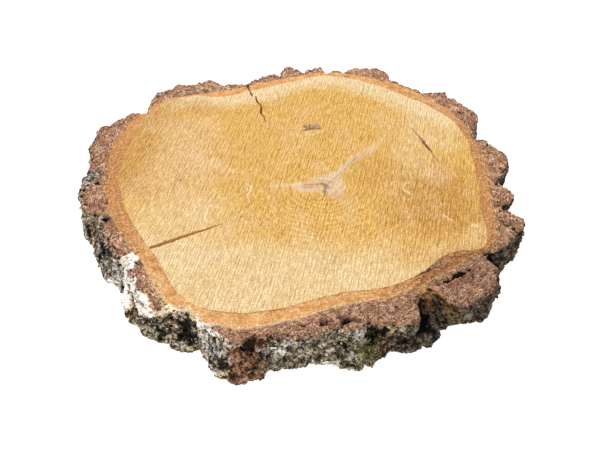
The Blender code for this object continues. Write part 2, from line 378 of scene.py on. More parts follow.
# Sawn birch: end grain straight off the saw, matt and a little furry, gold at the heart and cream at the edge
sawnWood = {
    "gold": "#DDAE5C", "sap": "#EBD0A0", "deep": "#C89449", "rosy": "#E2BB8A", "crackWall": "#E2AF6C",
    "sawTurn": 11.5, "sawFan": 0.0004, "sawPitch": 2.8, "ringWidth": 4.2, "pith": (20.0, 2.0, 0.0),
    "sides": 900, "travelPitch": 6.0, "reach": 150, "sunk": 0.1,
    "dashes": [
        # mm across and along the saw's travel, then the darkening between the dashes and in them
        (0.72, 5.5, 1.12, 0.9), (0.64, 0.95, 1.19, 0.85)],
    "lines": [(2.8, 0.04, 0.8), (1.8, 0.06, 1.2)],  # pitch in mm, strength, and how far each is jittered
    "calm": [
        # from x, y, to x, y, half width, where the torn wood round the pith shows less of the saw
        (4.0, 1.0, 30.0, 10.0, 7.0), (28.0, 14.0, 60.0, 50.0, 3.5), (24.0, 0.0, 32.0, -8.0, 4.5)],
    "marks": [
        # from x, y, to x, y, width at start and end, softness in mm, colour, strength
        (3.5, 0.5, 22.0, 5.0, 4.8, 9.0, 2.2, "#E2C39C", 0.85),
        (16.0, 9.0, 30.0, 15.0, 3.5, 2.0, 2.2, "#E2C39C", 0.8),
        (27.0, 14.0, 31.0, 0.0, 4.0, 3.0, 2.0, "#E4C69E", 0.85),
        (24.0, -4.0, 30.0, -6.0, 4.0, 3.0, 2.2, "#E2C39C", 0.7),
        (29.3, 16.5, 39.5, 31.0, 3.4, 2.4, 1.8, "#E5C79F", 0.85),
        (39.5, 31.0, 54.2, 43.3, 2.4, 3.0, 2.2, "#E6C79D", 0.7),
        (54.2, 43.3, 66.0, 62.0, 2.6, 1.2, 2.8, "#E6C89B", 0.5),
        (40.0, 30.5, 50.0, 40.0, 1.3, 1.6, 1.8, "#D8A786", 0.6),
        (3.5, 4.0, -17.0, 2.4, 2.6, 0.9, 1.8, "#EACB9E", 0.85),
        (5.0, 2.2, 19.5, 4.2, 2.0, 2.4, 1.5, "#D6A67F", 0.7),
        (5.0, 0.6, 12.0, 1.4, 0.5, 0.5, 0.6, "#AC7C5C", 0.65),
        (6.5, 3.4, 18.5, 4.6, 0.5, 0.6, 0.6, "#A97858", 0.7),
        (16.0, 8.5, 24.0, 7.0, 0.6, 0.8, 0.8, "#BE9272", 0.6),
        (27.0, -6.5, 31.5, -12.5, 2.6, 2.2, 2.2, "#DCAA86", 0.75),
        (20.5, 3.5, 19.5, -7.5, 1.3, 0.6, 0.9, "#7E7068", 0.8),
        (17.5, 5.5, 23.0, 0.5, 1.0, 1.0, 1.0, "#8C7464", 0.65),
        (22.0, 4.0, 43.0, 33.0, 0.4, 0.3, 0.5, "#9A7450", 0.75),
        (25.0, 4.5, 44.5, 31.0, 0.35, 0.25, 0.5, "#A57F5B", 0.55),
        (11.3, 68.6, 17.1, 68.3, 2.2, 1.6, 0.7, "#B08A70", 0.95),
        (12.8, 71.7, 15.7, 71.2, 1.5, 1.1, 0.9, "#BF9A80", 0.85),
        (11.0, 66.9, 18.6, 66.2, 0.8, 0.5, 0.6, "#7D5A48", 0.8),
        (5.9, 64.5, 11.0, 66.4, 0.9, 0.8, 0.5, "#6F4B3C", 0.95),
        (6.3, 69.9, 8.8, 66.3, 1.5, 1.0, 0.7, "#9A7158", 0.85),
        (9.7, 71.5, 10.1, 66.2, 0.6, 0.6, 0.5, "#7B5644", 0.85),
        (6.6, 62.6, 17.4, 62.9, 1.2, 1.1, 1.0, "#E8CA9A", 0.6),
        (6.6, 60.1, 13.1, 59.6, 0.5, 0.5, 0.6, "#F2DAAF", 0.6),
        (13.1, 59.6, 20.0, 64.5, 0.5, 0.4, 0.6, "#F2DAAF", 0.6),
        (78.6, 71.1, 84.1, 66.9, 0.3, 0.5, 0.6, "#B98A58", 0.6),
        (84.1, 66.9, 88.8, 56.9, 0.5, 0.6, 0.6, "#A06F48", 0.75),
        (88.8, 56.9, 91.2, 50.5, 0.8, 1.1, 0.6, "#8A5A40", 0.85),
        (91.2, 50.5, 95.7, 40.2, 1.2, 0.9, 0.6, "#7F5038", 0.92),
        (92.6, 46.5, 94.5, 42.5, 0.6, 0.6, 0.5, "#5E382A", 0.7),
        (95.7, 40.2, 100.6, 27.8, 0.6, 0.3, 0.6, "#8F6040", 0.8),
        (79.9, 52.8, 82.2, 49.9, 0.9, 0.8, 0.8, "#F6E4C4", 0.6),
        (98.1, -27.6, 103.3, -32.6, 0.7, 0.8, 0.7, "#F6E2BB", 0.6),
        (110.8, -48.2, 111.2, -48.4, 0.7, 0.7, 0.6, "#F6E2BB", 0.55),
        (-30.6, -57.3, -27.7, -68.6, 1.6, 1.2, 2.2, "#F5DFB8", 0.35),
        (89.9, 20.1, 92.6, 11.4, 2.4, 2.0, 3.0, "#F0D2A4", 0.35)],
    "crescents": [
        # middle x, y, radius, facing in degrees, half sweep, half width, strength
        (-37.1, -1.0, 6.9, 0.0, 62.0, 0.75, 0.5),
        (-33.0, -3.8, 2.4, 20.0, 100.0, 0.6, 0.2),
        (-47.6, -27.8, 12.5, 180.0, 32.0, 0.7, 0.55),
        (-33.0, -54.9, 3.1, 95.0, 85.0, 0.7, 0.35),
        (79.1, 0.7, 5.7, 175.0, 78.0, 0.85, 0.5),
        (76.4, -8.7, 2.9, 300.0, 150.0, 0.7, 0.25),
        (117.5, -38.8, 1.8, 90.0, 110.0, 0.55, 0.5),
        (-52.3, 27.8, 6.2, 185.0, 50.0, 0.8, 0.22)],
    "specks": [(-36.5, -30.0, 0.9), (-12.0, 42.0, 0.6), (52.0, -48.0, 0.6), (109.0, 3.0, 0.8),
               (-80.0, 8.0, 0.7)],
}


def sawnPlace(tree, place):
    # the place in mm, turned so that y runs along the saw's travel
    return addNode(tree, "ShaderNodeVectorRotate", {"rotation_type": "Z_AXIS"}, {
        "Vector": place, "Angle": math.radians(sawnWood["sawTurn"])})


def sawnWoodMaterial():
    material, tree, place = newMaterial("birchEndGrainSawn")
    bent = waveringPlace(tree, place, 3.4, 1.8)
    patchy = noiseNode(tree, place, 0.045, 4.0, 0.6)
    patchy = mathNode(tree, "SUBTRACT", patchy, 0.5)
    colour = toLinear(sawnWood["gold"])
    for zone, spread in (("sap", 0.9), ("deep", 0.9), ("rosy", 1.2)):
        amount = layerNode(tree, zone)
        amount = mathNode(tree, "MULTIPLY_ADD", patchy, spread, amount, clamp=True)
        there = layerNode(tree, zone)
        there = mathNode(tree, "MULTIPLY", there, 6.0, clamp=True)
        amount = mathNode(tree, "MULTIPLY", amount, there)
        colour = mixNode(tree, amount, colour, sawnWood[zone])
    tint = noiseNode(tree, place, 0.05, 1.0)
    tint = rangeNode(tree, tint, 0.45, 0.75, 0.0, 0.3)
    colour = mixNode(tree, tint, colour, "#EDCBA2")
    # growth rings round the pith
    fromPith = vectorNode(tree, "SUBTRACT", bent, sawnWood["pith"])
    fromPith = vectorNode(tree, "LENGTH", fromPith)
    ripple = mathNode(tree, "MULTIPLY_ADD", patchy, 14.0, fromPith)
    ripple = mathNode(tree, "MULTIPLY", ripple, 2.0 * math.pi / sawnWood["ringWidth"])
    ripple = mathNode(tree, "SINE", ripple)
    nearPith = rangeNode(tree, fromPith, 25.0, 85.0, 0.07, 0.01)
    below = axisNode(tree, place, "Y")
    below = rangeNode(tree, below, -15.0, 25.0, 1.0, 0.3)
    nearPith = mathNode(tree, "MULTIPLY", nearPith, below)
    grain = mathNode(tree, "MULTIPLY_ADD", ripple, nearPith, 1.0)
    # saw marks: a fan of even lines at the blade's step, broken into fine dashes along the saw's travel
    sawn = sawnPlace(tree, place)
    travel = axisNode(tree, sawn, "Y")
    spread = mathNode(tree, "MULTIPLY_ADD", travel, sawnWood["sawFan"], 1.0)
    spread = joinNode(tree, spread, 1.0, 1.0)
    sawn = vectorNode(tree, "MULTIPLY", sawn, spread)
    drift = drawnNoise(tree, sawn, (0.07, 0.015, 0.0), 3.0)
    jitter = drawnNoise(tree, sawn, (0.4, 0.16, 0.0), 1.0)
    across = axisNode(tree, sawn, "X")
    for pitch, strength, loose in sawnWood["lines"]:
        line = mathNode(tree, "MULTIPLY", across, 2.0 * math.pi / pitch)
        line = mathNode(tree, "MULTIPLY_ADD", drift, 16.0, line)
        line = mathNode(tree, "MULTIPLY_ADD", jitter, 2.0 * loose, line)
        line = mathNode(tree, "SINE", line)
        line = mathNode(tree, "MULTIPLY_ADD", line, strength, 1.0)
        grain = mathNode(tree, "MULTIPLY", grain, line)
    height = None
    for wide, long, thin, thick in sawnWood["dashes"]:
        dash = drawnNoise(tree, sawn, (1.0 / wide, 1.0 / long, 0.1), 0.0)
        if height is None:
            height = dash
        dash = rangeNode(tree, dash, 0.3, 0.7, thin, thick)
        grain = mathNode(tree, "MULTIPLY", grain, dash)
    # short dark lines where the blade snatched
    snatch = drawnNoise(tree, sawn, (1.1, 0.07, 0.1), 1.0, distortion=0.3)
    snatch = rangeNode(tree, snatch, 0.62, 0.7, 1.0, 1.24)
    grain = mathNode(tree, "MULTIPLY", grain, snatch)
    # the torn wood round the pith is smoother
    for fromX, fromY, toX, toY, wide in sawnWood["calm"]:
        calm = strokeNode(tree, bent, (fromX, fromY, 0.0), (toX, toY, 0.0), wide, wide, 3.0)
        calm = mathNode(tree, "MULTIPLY", calm, 0.5)
        grain = fadeNode(tree, calm, grain, 1.0)
    colour = addMarks(tree, bent, colour, sawnWood["marks"])
    for x, y, radius, facing, sweep, wide, strength in sawnWood["crescents"]:
        off = vectorNode(tree, "SUBTRACT", bent, (x, y, 0.0))
        apart = vectorNode(tree, "LENGTH", off)
        apart = mathNode(tree, "COMPARE", apart, radius, wide)
        aim = vectorNode(tree, "NORMALIZE", off)
        turn = math.radians(facing)
        aim = vectorNode(tree, "DOT_PRODUCT", aim, (math.cos(turn), math.sin(turn), 0.0))
        aim = mathNode(tree, "GREATER_THAN", aim, math.cos(math.radians(sweep)))
        amount = mathNode(tree, "MULTIPLY", apart, aim)
        amount = mathNode(tree, "MULTIPLY", amount, strength)
        colour = mixNode(tree, amount, colour, "#F9E7C3")
    specks = [(x, y, x + 1.0, y + 1.2, wide, wide, 0.7, "#8A6A45", 0.6) for x, y, wide in sawnWood["specks"]]
    colour = addMarks(tree, bent, colour, specks)
    # half of the darkening is gamma, which keeps the grain warm
    toned = addNode(tree, "ShaderNodeGamma", {}, {0: colour, 1: grain})
    lighter = mathNode(tree, "DIVIDE", 1.0, grain)
    toned = scaledNode(tree, toned, lighter)
    # the walls of the cracks are browner, with painted shade that grows darker further down
    rise = axisNode(tree, place, "Z")
    inside = mathNode(tree, "COMPARE", rise, 16.0, 15.65)
    shade = rangeNode(tree, rise, 20.0, 31.0, 0.3, 1.0)
    brown = scaledNode(tree, toLinear(sawnWood["crackWall"])[:3], shade)
    colour = mixNode(tree, inside, toned, brown)
    finishMaterial(tree, colour, 0.72, 0.25, height, 0.12)
    return material


woodOvals = {
    # strength, where it begins to fade, then the middle x, y and the half widths in mm
    "sap": [(0.42, 1.3, 100.0, 62.0, 26.0, 26.0), (0.35, 1.25, 86.0, 34.0, 22.0, 24.0),
            (0.6, 1.3, -78.0, -28.0, 40.0, 30.0)],
    "deep": [(0.95, 1.25, 95.0, -16.0, 44.0, 46.0), (0.5, 1.3, 58.0, 14.0, 22.0, 30.0),
             (0.4, 1.3, 78.0, -68.0, 20.0, 14.0), (0.5, 1.2, -75.0, 92.0, 26.0, 14.0)],
    "rosy": [(0.75, 1.25, -84.0, 30.0, 44.0, 60.0)],
}


def woodZones(spot, edge):
    # how far the wood is cream, deep gold or rosy at a place, which lies edge mm inside the bark
    x, y = spot.x, spot.y
    amounts = {}
    for zone, ovals in woodOvals.items():
        amounts[zone] = max(full * smoothStep(fade - math.hypot((x - midX) / halfX, (y - midY) / halfY))
                            for full, fade, midX, midY, halfX, halfY in ovals)
    front = 0.74 * smoothStep((-40.0 - y + 0.0016 * (x - 20.0) ** 2) / 38.0)
    front *= 1.0 - 0.6 * smoothStep((x - 45.0) / 45.0)
    rind = smoothStep((22.0 - edge) / 16.0)
    rind *= max(smoothStep((y - 40.0) / 50.0), 0.6 * smoothStep((-20.0 - y) / 30.0))
    right = 0.75 * smoothStep((14.0 - edge) / 12.0) * smoothStep((x - 70.0) / 30.0)
    right *= smoothStep((20.0 - y) / 30.0)
    left = 0.85 * smoothStep((40.0 - edge) / 30.0) * smoothStep((-x - 70.0) / 30.0)
    left *= smoothStep((y + 25.0) / 30.0)
    amounts["sap"] = min(max(amounts["sap"], front, rind), 1.0)
    amounts["deep"] = min(max(amounts["deep"], right, left), 1.0)
    amounts["rosy"] *= 1.0 - 0.85 * smoothStep((34.0 - edge) / 24.0)
    return amounts


cracks = {
    # the mouth's two ends, its widths along the way, its depth and how far it wanders, in mm
    "left": {"from": (-102.6, -63.8), "to": (-47.0, -35.6), "widths": (0.6, 3.2, 3.6, 3.2, 2.8, 1.8, 0.4),
             "depth": 12.0,
             "bend": 0.7, "turn": 3.0},
    "topOuter": {"from": (-37.0, 120.4), "to": (-32.3, 106.0), "widths": (1.6, 2.6, 2.8, 1.6, 2.2, 0.8),
                 "depth": 9.0,
                 "bend": 0.8, "turn": 11.0},
    "topInner": {"from": (-30.3, 107.1), "to": (-21.5, 72.9), "widths": (1.2, 1.6, 1.9, 1.6, 1.2, 0.3),
                 "depth": 9.0,
                 "bend": 1.6, "turn": 17.0},
}


def cutAlong(bm, spot, normal):
    bmesh.ops.bisect_plane(bm, geom=bm.verts[:] + bm.edges[:] + bm.faces[:], plane_co=spot, plane_no=normal)


def makeCrackCutter(crack):
    # a wandering wedge that stands well above the upper cut
    start, end = Vector(crack["from"]), Vector(crack["to"])
    along = (end - start).normalized()
    across = Vector((-along.y, along.x))
    length = (end - start).length
    bm = bmesh.new()
    pieces = max(8, round(length / 1.6))
    bmesh.ops.create_cube(bm, size=1.0)
    for step in range(1, pieces):
        cutAlong(bm, (step / pieces - 0.5, 0, 0), (1, 0, 0))
    for corner in bm.verts:
        share = corner.co.x + 0.5
        low = corner.co.z < 0
        place = share * (len(crack["widths"]) - 1.001)
        wide = blend(crack["widths"][int(place)], crack["widths"][int(place) + 1], place - int(place))
        wide *= 1.0 + 0.4 * noise.noise(Vector((share * length / 2.2, crack["turn"], 4.0 * corner.co.y)))
        wide *= 0.45 if low else 1.0
        bend = crack["bend"] * noise.noise(Vector((share * length / 9.0, crack["turn"], 0.0)))
        bend += 0.3 * noise.noise(Vector((share * length / 2.0, crack["turn"], 5.0)))
        spot = start + along * share * length + across * (bend + corner.co.y * wide)
        height = thickness - crack["depth"] * (1.0 - 0.6 * share) if low else thickness + 2.0
        corner.co = Vector((spot.x, spot.y, height)) * mm
    bmesh.ops.recalc_face_normals(bm, faces=bm.faces[:])
    return addObject("cutter", bm)


def makeSawnWood():
    bm = bmesh.new()
    bmesh.ops.create_circle(bm, cap_ends=True, segments=sawnWood["sides"], radius=1.0)
    raised = bmesh.ops.extrude_face_region(bm, geom=bm.faces[:])
    up = [part for part in raised["geom"] if isinstance(part, bmesh.types.BMVert)]
    bmesh.ops.translate(bm, verts=up, vec=(0, 0, 1.0))
    for corner in bm.verts:
        angle = math.degrees(math.atan2(corner.co.y, corner.co.x))
        height = corner.co.z * thickness
        corner.co = spotAt(angle, woodEnd(angle, height) + 0.3, height) * mm
    bmesh.ops.recalc_face_normals(bm, faces=bm.faces[:])
    blank = addObject("blank", bm)
    cutters = [makeCrackCutter(crack) for crack in cracks.values()]
    for cutter in cutters:
        change = blank.modifiers.new("crack", "BOOLEAN")
        change.operation = "DIFFERENCE"
        change.solver = "EXACT"
        change.object = cutter
    cutMesh = bpy.data.meshes.new_from_object(blank.evaluated_get(bpy.context.evaluated_depsgraph_get()))
    for helper in cutters + [blank]:
        bpy.data.objects.remove(helper)
    bm = bmesh.new()
    bm.from_mesh(cutMesh)
    turn = math.radians(sawnWood["sawTurn"])
    travel = Vector((math.sin(turn), math.cos(turn), 0.0))
    across = Vector((math.cos(turn), -math.sin(turn), 0.0))
    for normal, pitch in ((across, sawnWood["sawPitch"]), (travel, sawnWood["travelPitch"])):
        steps = int(sawnWood["reach"] / pitch)
        for step in range(-steps, steps + 1):
            cutAlong(bm, normal * step * pitch * mm, normal)
    for corner in bm.verts:
        spot = corner.co / mm
        ridge = 0.1 * noise.noise(Vector((spot.dot(across) / 1.7, spot.dot(travel) / 30.0, 2.0)))
        ridge += 0.06 * noiseAt(spot, 12.0)
        if spot.z > thickness - 0.001:
            corner.co.z -= (sawnWood["sunk"] + ridge) * mm
        elif spot.z < 0.001:
            corner.co.z += (sawnWood["sunk"] + ridge) * mm
    layers = {zone: bm.verts.layers.float.new(zone) for zone in woodOvals}
    for corner in bm.verts:
        spot = corner.co / mm
        flat = spot - middle
        angle = math.degrees(math.atan2(flat.y, flat.x))
        edge = woodEnd(angle, thickness) - math.hypot(flat.x, flat.y)
        for zone, amount in woodZones(spot, edge).items():
            corner[layers[zone]] = amount
    bmesh.ops.triangulate(bm, faces=[face for face in bm.faces if len(face.verts) > 4])
    for edge in bm.edges:
        edge.smooth = len(edge.link_faces) == 2 and edge.calc_face_angle(0.0) < math.radians(35)
    return addPiece("sawn_wood", bm, sawnWoodMaterial())


# Inner bark: the living layer, fibrous and orange tan, a hair below the wood
innerBark = {
    "columns": 1200, "topRows": 18, "lowRows": 8, "drop": 0.3, "reach": 130.0,
    "dashes": [(0.75, 4.0, 1.1, 0.9), (0.7, 1.0, 1.12, 0.88)],  # as those of the wood
    "orange": "#D89F62", "deep": "#AC733D", "pale": "#E8C290", "line": "#9C6634", "warm": "#BA7C48",
    "marks": [
        # from x, y, to x, y, width at start and end, softness in mm, colour, strength
        (82.0, -80.5, 90.0, -75.8, 2.0, 3.2, 1.6, "#BF9673", 0.45),
        (90.0, -75.8, 97.4, -70.9, 3.0, 1.6, 1.6, "#C6A07E", 0.45),
        (78.5, -84.4, 85.9, -79.4, 0.7, 1.0, 0.8, "#2B1C12", 0.85),
        (85.9, -79.4, 93.9, -74.6, 0.6, 0.4, 0.8, "#5B402C", 0.7),
        (102.1, -69.1, 121.5, -61.6, 1.4, 1.2, 1.4, "#8A5632", 0.6),
        (87.5, -82.3, 99.6, -75.0, 0.8, 0.8, 1.2, "#86522E", 0.5),
        (-105.2, -65.8, -101.0, -63.4, 0.4, 0.7, 0.5, "#5F3D20", 0.9),
        (-38.8, 126.0, -37.2, 120.0, 0.6, 0.8, 0.5, "#2E1C10", 0.95)],
}


def innerBarkMaterial():
    material, tree, place = newMaterial("birchInnerBarkSawn")
    share, tone, warm, rind = [layerNode(tree, name) for name in ("share", "tone", "warm", "rind")]
    fine = noiseNode(tree, place, 0.85, 4.0, 0.7)
    broad = noiseNode(tree, place, 0.2, 5.0, 0.65)
    colour = rampNode(tree, broad, [(0.27, innerBark["deep"]), (0.48, innerBark["orange"]),
        (0.76, innerBark["pale"])])
    colour = mixNode(tree, warm, colour, innerBark["warm"])
    speck = rangeNode(tree, fine, 0.4, 0.6, 0.76, 1.26)
    tone = mathNode(tree, "MULTIPLY", tone, speck)
    sawn = sawnPlace(tree, place)
    for wide, long, thin, thick in innerBark["dashes"]:
        dash = drawnNoise(tree, sawn, (1.0 / wide, 1.0 / long, 0.1), 0.0)
        dash = rangeNode(tree, dash, 0.3, 0.7, thin, thick)
        tone = mathNode(tree, "MULTIPLY", tone, dash)
    around = layerNode(tree, "around")
    layered = joinNode(tree, around, share, 0.0)
    layered = drawnNoise(tree, layered, (0.13, 7.0, 1.0), 4.0, 0.65, 0.7)
    layered = rangeNode(tree, layered, 0.36, 0.64, 1.32, 0.62)
    torn = layerNode(tree, "torn")
    layered = fadeNode(tree, torn, 1.0, layered)
    tone = mathNode(tree, "MULTIPLY", tone, layered)
    mottle = noiseNode(tree, place, 0.6, 4.0, 0.75)
    mottle = rangeNode(tree, mottle, 0.4, 0.6, 0.4, 1.6)
    mottle = fadeNode(tree, torn, 1.0, mottle)
    tone = mathNode(tree, "MULTIPLY", tone, mottle)
    seam = layerNode(tree, "seam")
    line = mathNode(tree, "MULTIPLY_ADD", broad, 0.3, share)
    line = smoothNode(tree, line, 0.16, 0.36, 1.0, 0.0)
    line = mathNode(tree, "MULTIPLY", line, seam)
    colour = mixNode(tree, line, colour, innerBark["line"])
    pale = mathNode(tree, "MULTIPLY_ADD", fine, 0.7, share)
    pale = smoothNode(tree, pale, 1.2, 1.42, 0.0, 0.85)
    pale = mathNode(tree, "MULTIPLY", pale, rind)
    colour = mixNode(tree, pale, colour, "#EBCDA6")
    colour = addMarks(tree, waveringPlace(tree, place, 2.2, 3.0), colour, innerBark["marks"])
    colour = scaledNode(tree, colour, tone)
    finishMaterial(tree, colour, 0.8, 0.2, fine, 0.45)
    return material


# How each bark changes round the slice: its lightness, warmth, pale rind, dark seam and torn layers
innerTone = smoothLine({
    0: 0.98, 20: 0.95, 45: 1.02, 70: 1.15, 90: 1.15, 110: 1.12, 135: 1.1, 160: 1.0, 185: 1.0, 205: 1.0,
    230: 1.08, 250: 1.1, 270: 1.1, 290: 1.04, 306: 0.94, 312: 0.78, 318: 0.64, 326: 0.7, 333: 0.82,
    345: 0.92})
cutTone = smoothLine({
    0: 1.08, 20: 1.14, 45: 1.2, 70: 1.25, 90: 1.22, 110: 1.17, 135: 1.12, 160: 1.08, 185: 1.1, 205: 1.14,
    230: 1.12, 250: 1.08, 270: 1.04, 290: 1.0, 308: 0.92, 322: 0.84, 335: 0.9, 345: 1.0})
# the wall's lightness round the slice: partly the bark's own tone, partly painted shade and light by side
wallToneAndShade = smoothLine({
    0: 0.37, 20: 0.49, 45: 0.8, 90: 0.9, 135: 0.95, 165: 1.1, 190: 1.35, 205: 1.35, 230: 1.32, 245: 1.28,
    255: 1.04, 262: 0.9, 275: 1.0, 290: 1.0, 297: 0.6, 303: 0.38, 312: 0.36, 330: 0.36, 345: 0.33})
innerWarm = smoothLine({
    0: 0.55, 25: 0.45, 50: 0.2, 80: 0.1, 110: 0.1, 135: 0.3, 160: 0.6, 180: 0.65, 200: 0.35, 215: 0.05,
    240: 0.0, 280: 0.05, 305: 0.15, 315: 0.6, 328: 0.8, 340: 0.6})
rindShows = smoothLine({
    0: 0.15, 15: 0.1, 30: 0.1, 60: 0.1, 120: 0.05, 160: 0.0, 195: 0.1, 212: 0.5, 225: 0.9, 270: 0.9,
    300: 0.7, 318: 0.5, 327: 0.2, 336: 0.3, 350: 0.3})
besideWarm = smoothLine({
    0: 0.8, 20: 0.7, 40: 0.4, 90: 0.3, 140: 0.35, 165: 0.7, 195: 0.7, 210: 0.3, 240: 0.15, 295: 0.2,
    305: 0.6, 315: 0.95, 345: 0.9})
seamDark = smoothLine({
    0: 0.35, 30: 0.1, 90: 0.05, 150: 0.05, 180: 0.1, 215: 0.15, 235: 0.4, 255: 0.7, 290: 0.8, 320: 0.9,
    345: 0.6})
innerLayers = smoothLine({
    0: 0.6, 30: 0.5, 90: 0.25, 150: 0.3, 165: 0.55, 190: 0.55, 215: 0.4, 240: 0.2, 290: 0.35, 305: 0.75,
    315: 1.0, 333: 1.0, 345: 0.6})


def makeInnerBark():
    top, low = innerBark["topRows"], innerBark["lowRows"]
    rows = top + low + 4
    bm = bmesh.new()
    bmesh.ops.create_grid(bm, x_segments=innerBark["columns"], y_segments=rows, size=1.0)
    layers = {name: bm.verts.layers.float.new(name) for name in ("share", "tone", "warm", "rind", "around",
        "seam", "torn")}
    for corner in bm.verts:
        angle = (corner.co.x + 1.0) * 180.0
        row = round((corner.co.y + 1.0) / 2.0 * rows) % rows
        share, level = (row / top, 1.0) if row <= top else (1.0, 0.5)
        if top + 2 <= row <= top + 2 + low:
            share, level = 1.0 - (row - top - 2) / low, 0.0
        elif row > top + 2 + low:
            share, level = 0.0, 0.5
        height = thickness * level
        outer = barkStart(angle, height)
        if level == 0.5:  # drawn in where it is hidden
            mean = 0.5 * barkStart(angle, 0.0) + 0.5 * barkStart(angle, thickness)
            outer = max(woodEnd(angle, height), min(outer, mean) - 4.0)
        reach = blend(woodEnd(angle, height) - 0.4, outer + 0.8, share)
        spot = spotAt(angle, reach, height)
        rough = 0.22 * noise.fractal(spot / 1.3, 0.8, 2.1, 3) + 0.25 * noiseAt(spot, 6.0)
        if level == 1.0:
            spot.z = thickness - innerBark["drop"] + rough - pocketDepth(spot)
        elif level == 0.0:
            spot.z = innerBark["drop"] - rough
        spot.z = min(max(spot.z, 0.0), thickness)
        corner.co = spot * mm
        corner[layers["share"]] = share
        corner[layers["tone"]] = lineAt(innerTone, angle)
        corner[layers["warm"]] = max(0.0, lineAt(innerWarm, angle))
        corner[layers["rind"]] = min(max(lineAt(rindShows, angle), 0.0), 1.0)
        corner[layers["around"]] = math.radians(angle) * innerBark["reach"]
        corner[layers["seam"]] = max(0.0, lineAt(seamDark, angle))
        corner[layers["torn"]] = lineAt(innerLayers, angle)
    bmesh.ops.remove_doubles(bm, verts=bm.verts[:], dist=0.002 * mm)
    bmesh.ops.recalc_face_normals(bm, faces=bm.faces[:])
    return addPiece("inner_bark", bm, innerBarkMaterial())


# Outer bark: granular red-brown where it is sawn, charcoal and weathered outside
outerBark = {
    "topRows": 34, "rimRows": 3, "wallRows": 58, "footRows": 2, "lowRows": 12, "innerRows": 3,
    "rimRound": 1.1, "footRound": 0.8, "topDrop": 0.2, "lowRise": 0.25, "reach": 143.0,
    "pieces": {"outer_bark_front": (203.0, 307.0, 0.42), "outer_bark_right": (307.0, 386.0, 0.5),
               "outer_bark_back": (26.0, 139.0, 0.62), "outer_bark_left": (139.0, 203.0, 0.5)},
    "threads": [("blots", 0.007, 0.5, 0.6, "#43271D"), ("spots", 0.006, 0.52, 0.5, "#EBCFAF")],
    "cutMarks": [
        # from x, y, to x, y, width at start and end, softness in mm, colour, strength
        (79.5, -96.5, 86.0, -104.5, 1.6, 2.4, 1.5, "#DCA65E", 0.8),
        (86.0, -100.0, 92.0, -104.0, 1.5, 2.5, 1.5, "#C98F4C", 0.6),
        (96.7, -92.6, 104.9, -91.3, 1.8, 2.0, 3.2, "#93483E", 0.5),
        (26.0, -121.0, 39.0, -124.0, 1.6, 1.8, 1.2, "#3B2622", 0.8),
        (2.0, -127.0, 6.0, -127.8, 1.2, 1.0, 1.0, "#3B2622", 0.7),
        (15.5, -124.0, 22.0, -124.8, 0.8, 1.2, 1.0, "#4A3029", 0.7),
        (-31.0, -127.5, -8.0, -129.5, 0.8, 2.0, 1.5, "#8D7060", 0.45),
        (-107.5, -70.0, -99.0, -73.5, 1.6, 2.6, 1.6, "#5E4232", 0.7),
        (-101.0, -68.5, -97.5, -66.5, 0.6, 0.6, 0.7, "#4A2F20", 0.7),
        (-88.5, -87.0, -84.0, -96.0, 0.5, 0.6, 0.6, "#6E3E33", 0.6),
        (-136.0, -17.0, -128.5, -21.5, 2.0, 1.6, 1.4, "#7F4A4C", 0.55),
        (-128.0, -10.0, -126.0, -16.0, 1.0, 1.6, 1.0, "#7A3526", 0.65),
        (-137.5, 20.5, -134.5, 14.0, 1.2, 1.6, 1.2, "#4C4A2C", 0.7),
        (-131.0, -27.0, -122.0, -33.0, 2.2, 2.8, 1.6, "#6B6353", 0.65),
        (-136.0, -30.0, -131.0, -25.0, 1.4, 2.0, 1.4, "#CDA062", 0.6),
        (132.0, 17.5, 138.5, 12.0, 1.2, 2.2, 2.0, "#DDB08A", 0.55),
        (133.0, 2.0, 142.0, 0.5, 1.4, 1.2, 1.5, "#D8AC82", 0.6),
        (-142.7, 8.2, -137.1, 7.1, 1.2, 1.0, 1.2, "#3F3A30", 0.6),
        (-140.1, -27.1, -135.1, -49.7, 2.0, 2.6, 2.0, "#8C8473", 0.55),
        (134.5, -32.0, 142.0, -36.5, 1.0, 1.2, 0.9, "#5A4C34", 0.7),
        (137.0, -40.0, 137.0, -52.0, 2.0, 2.4, 2.0, "#C79A7B", 0.5)],
}

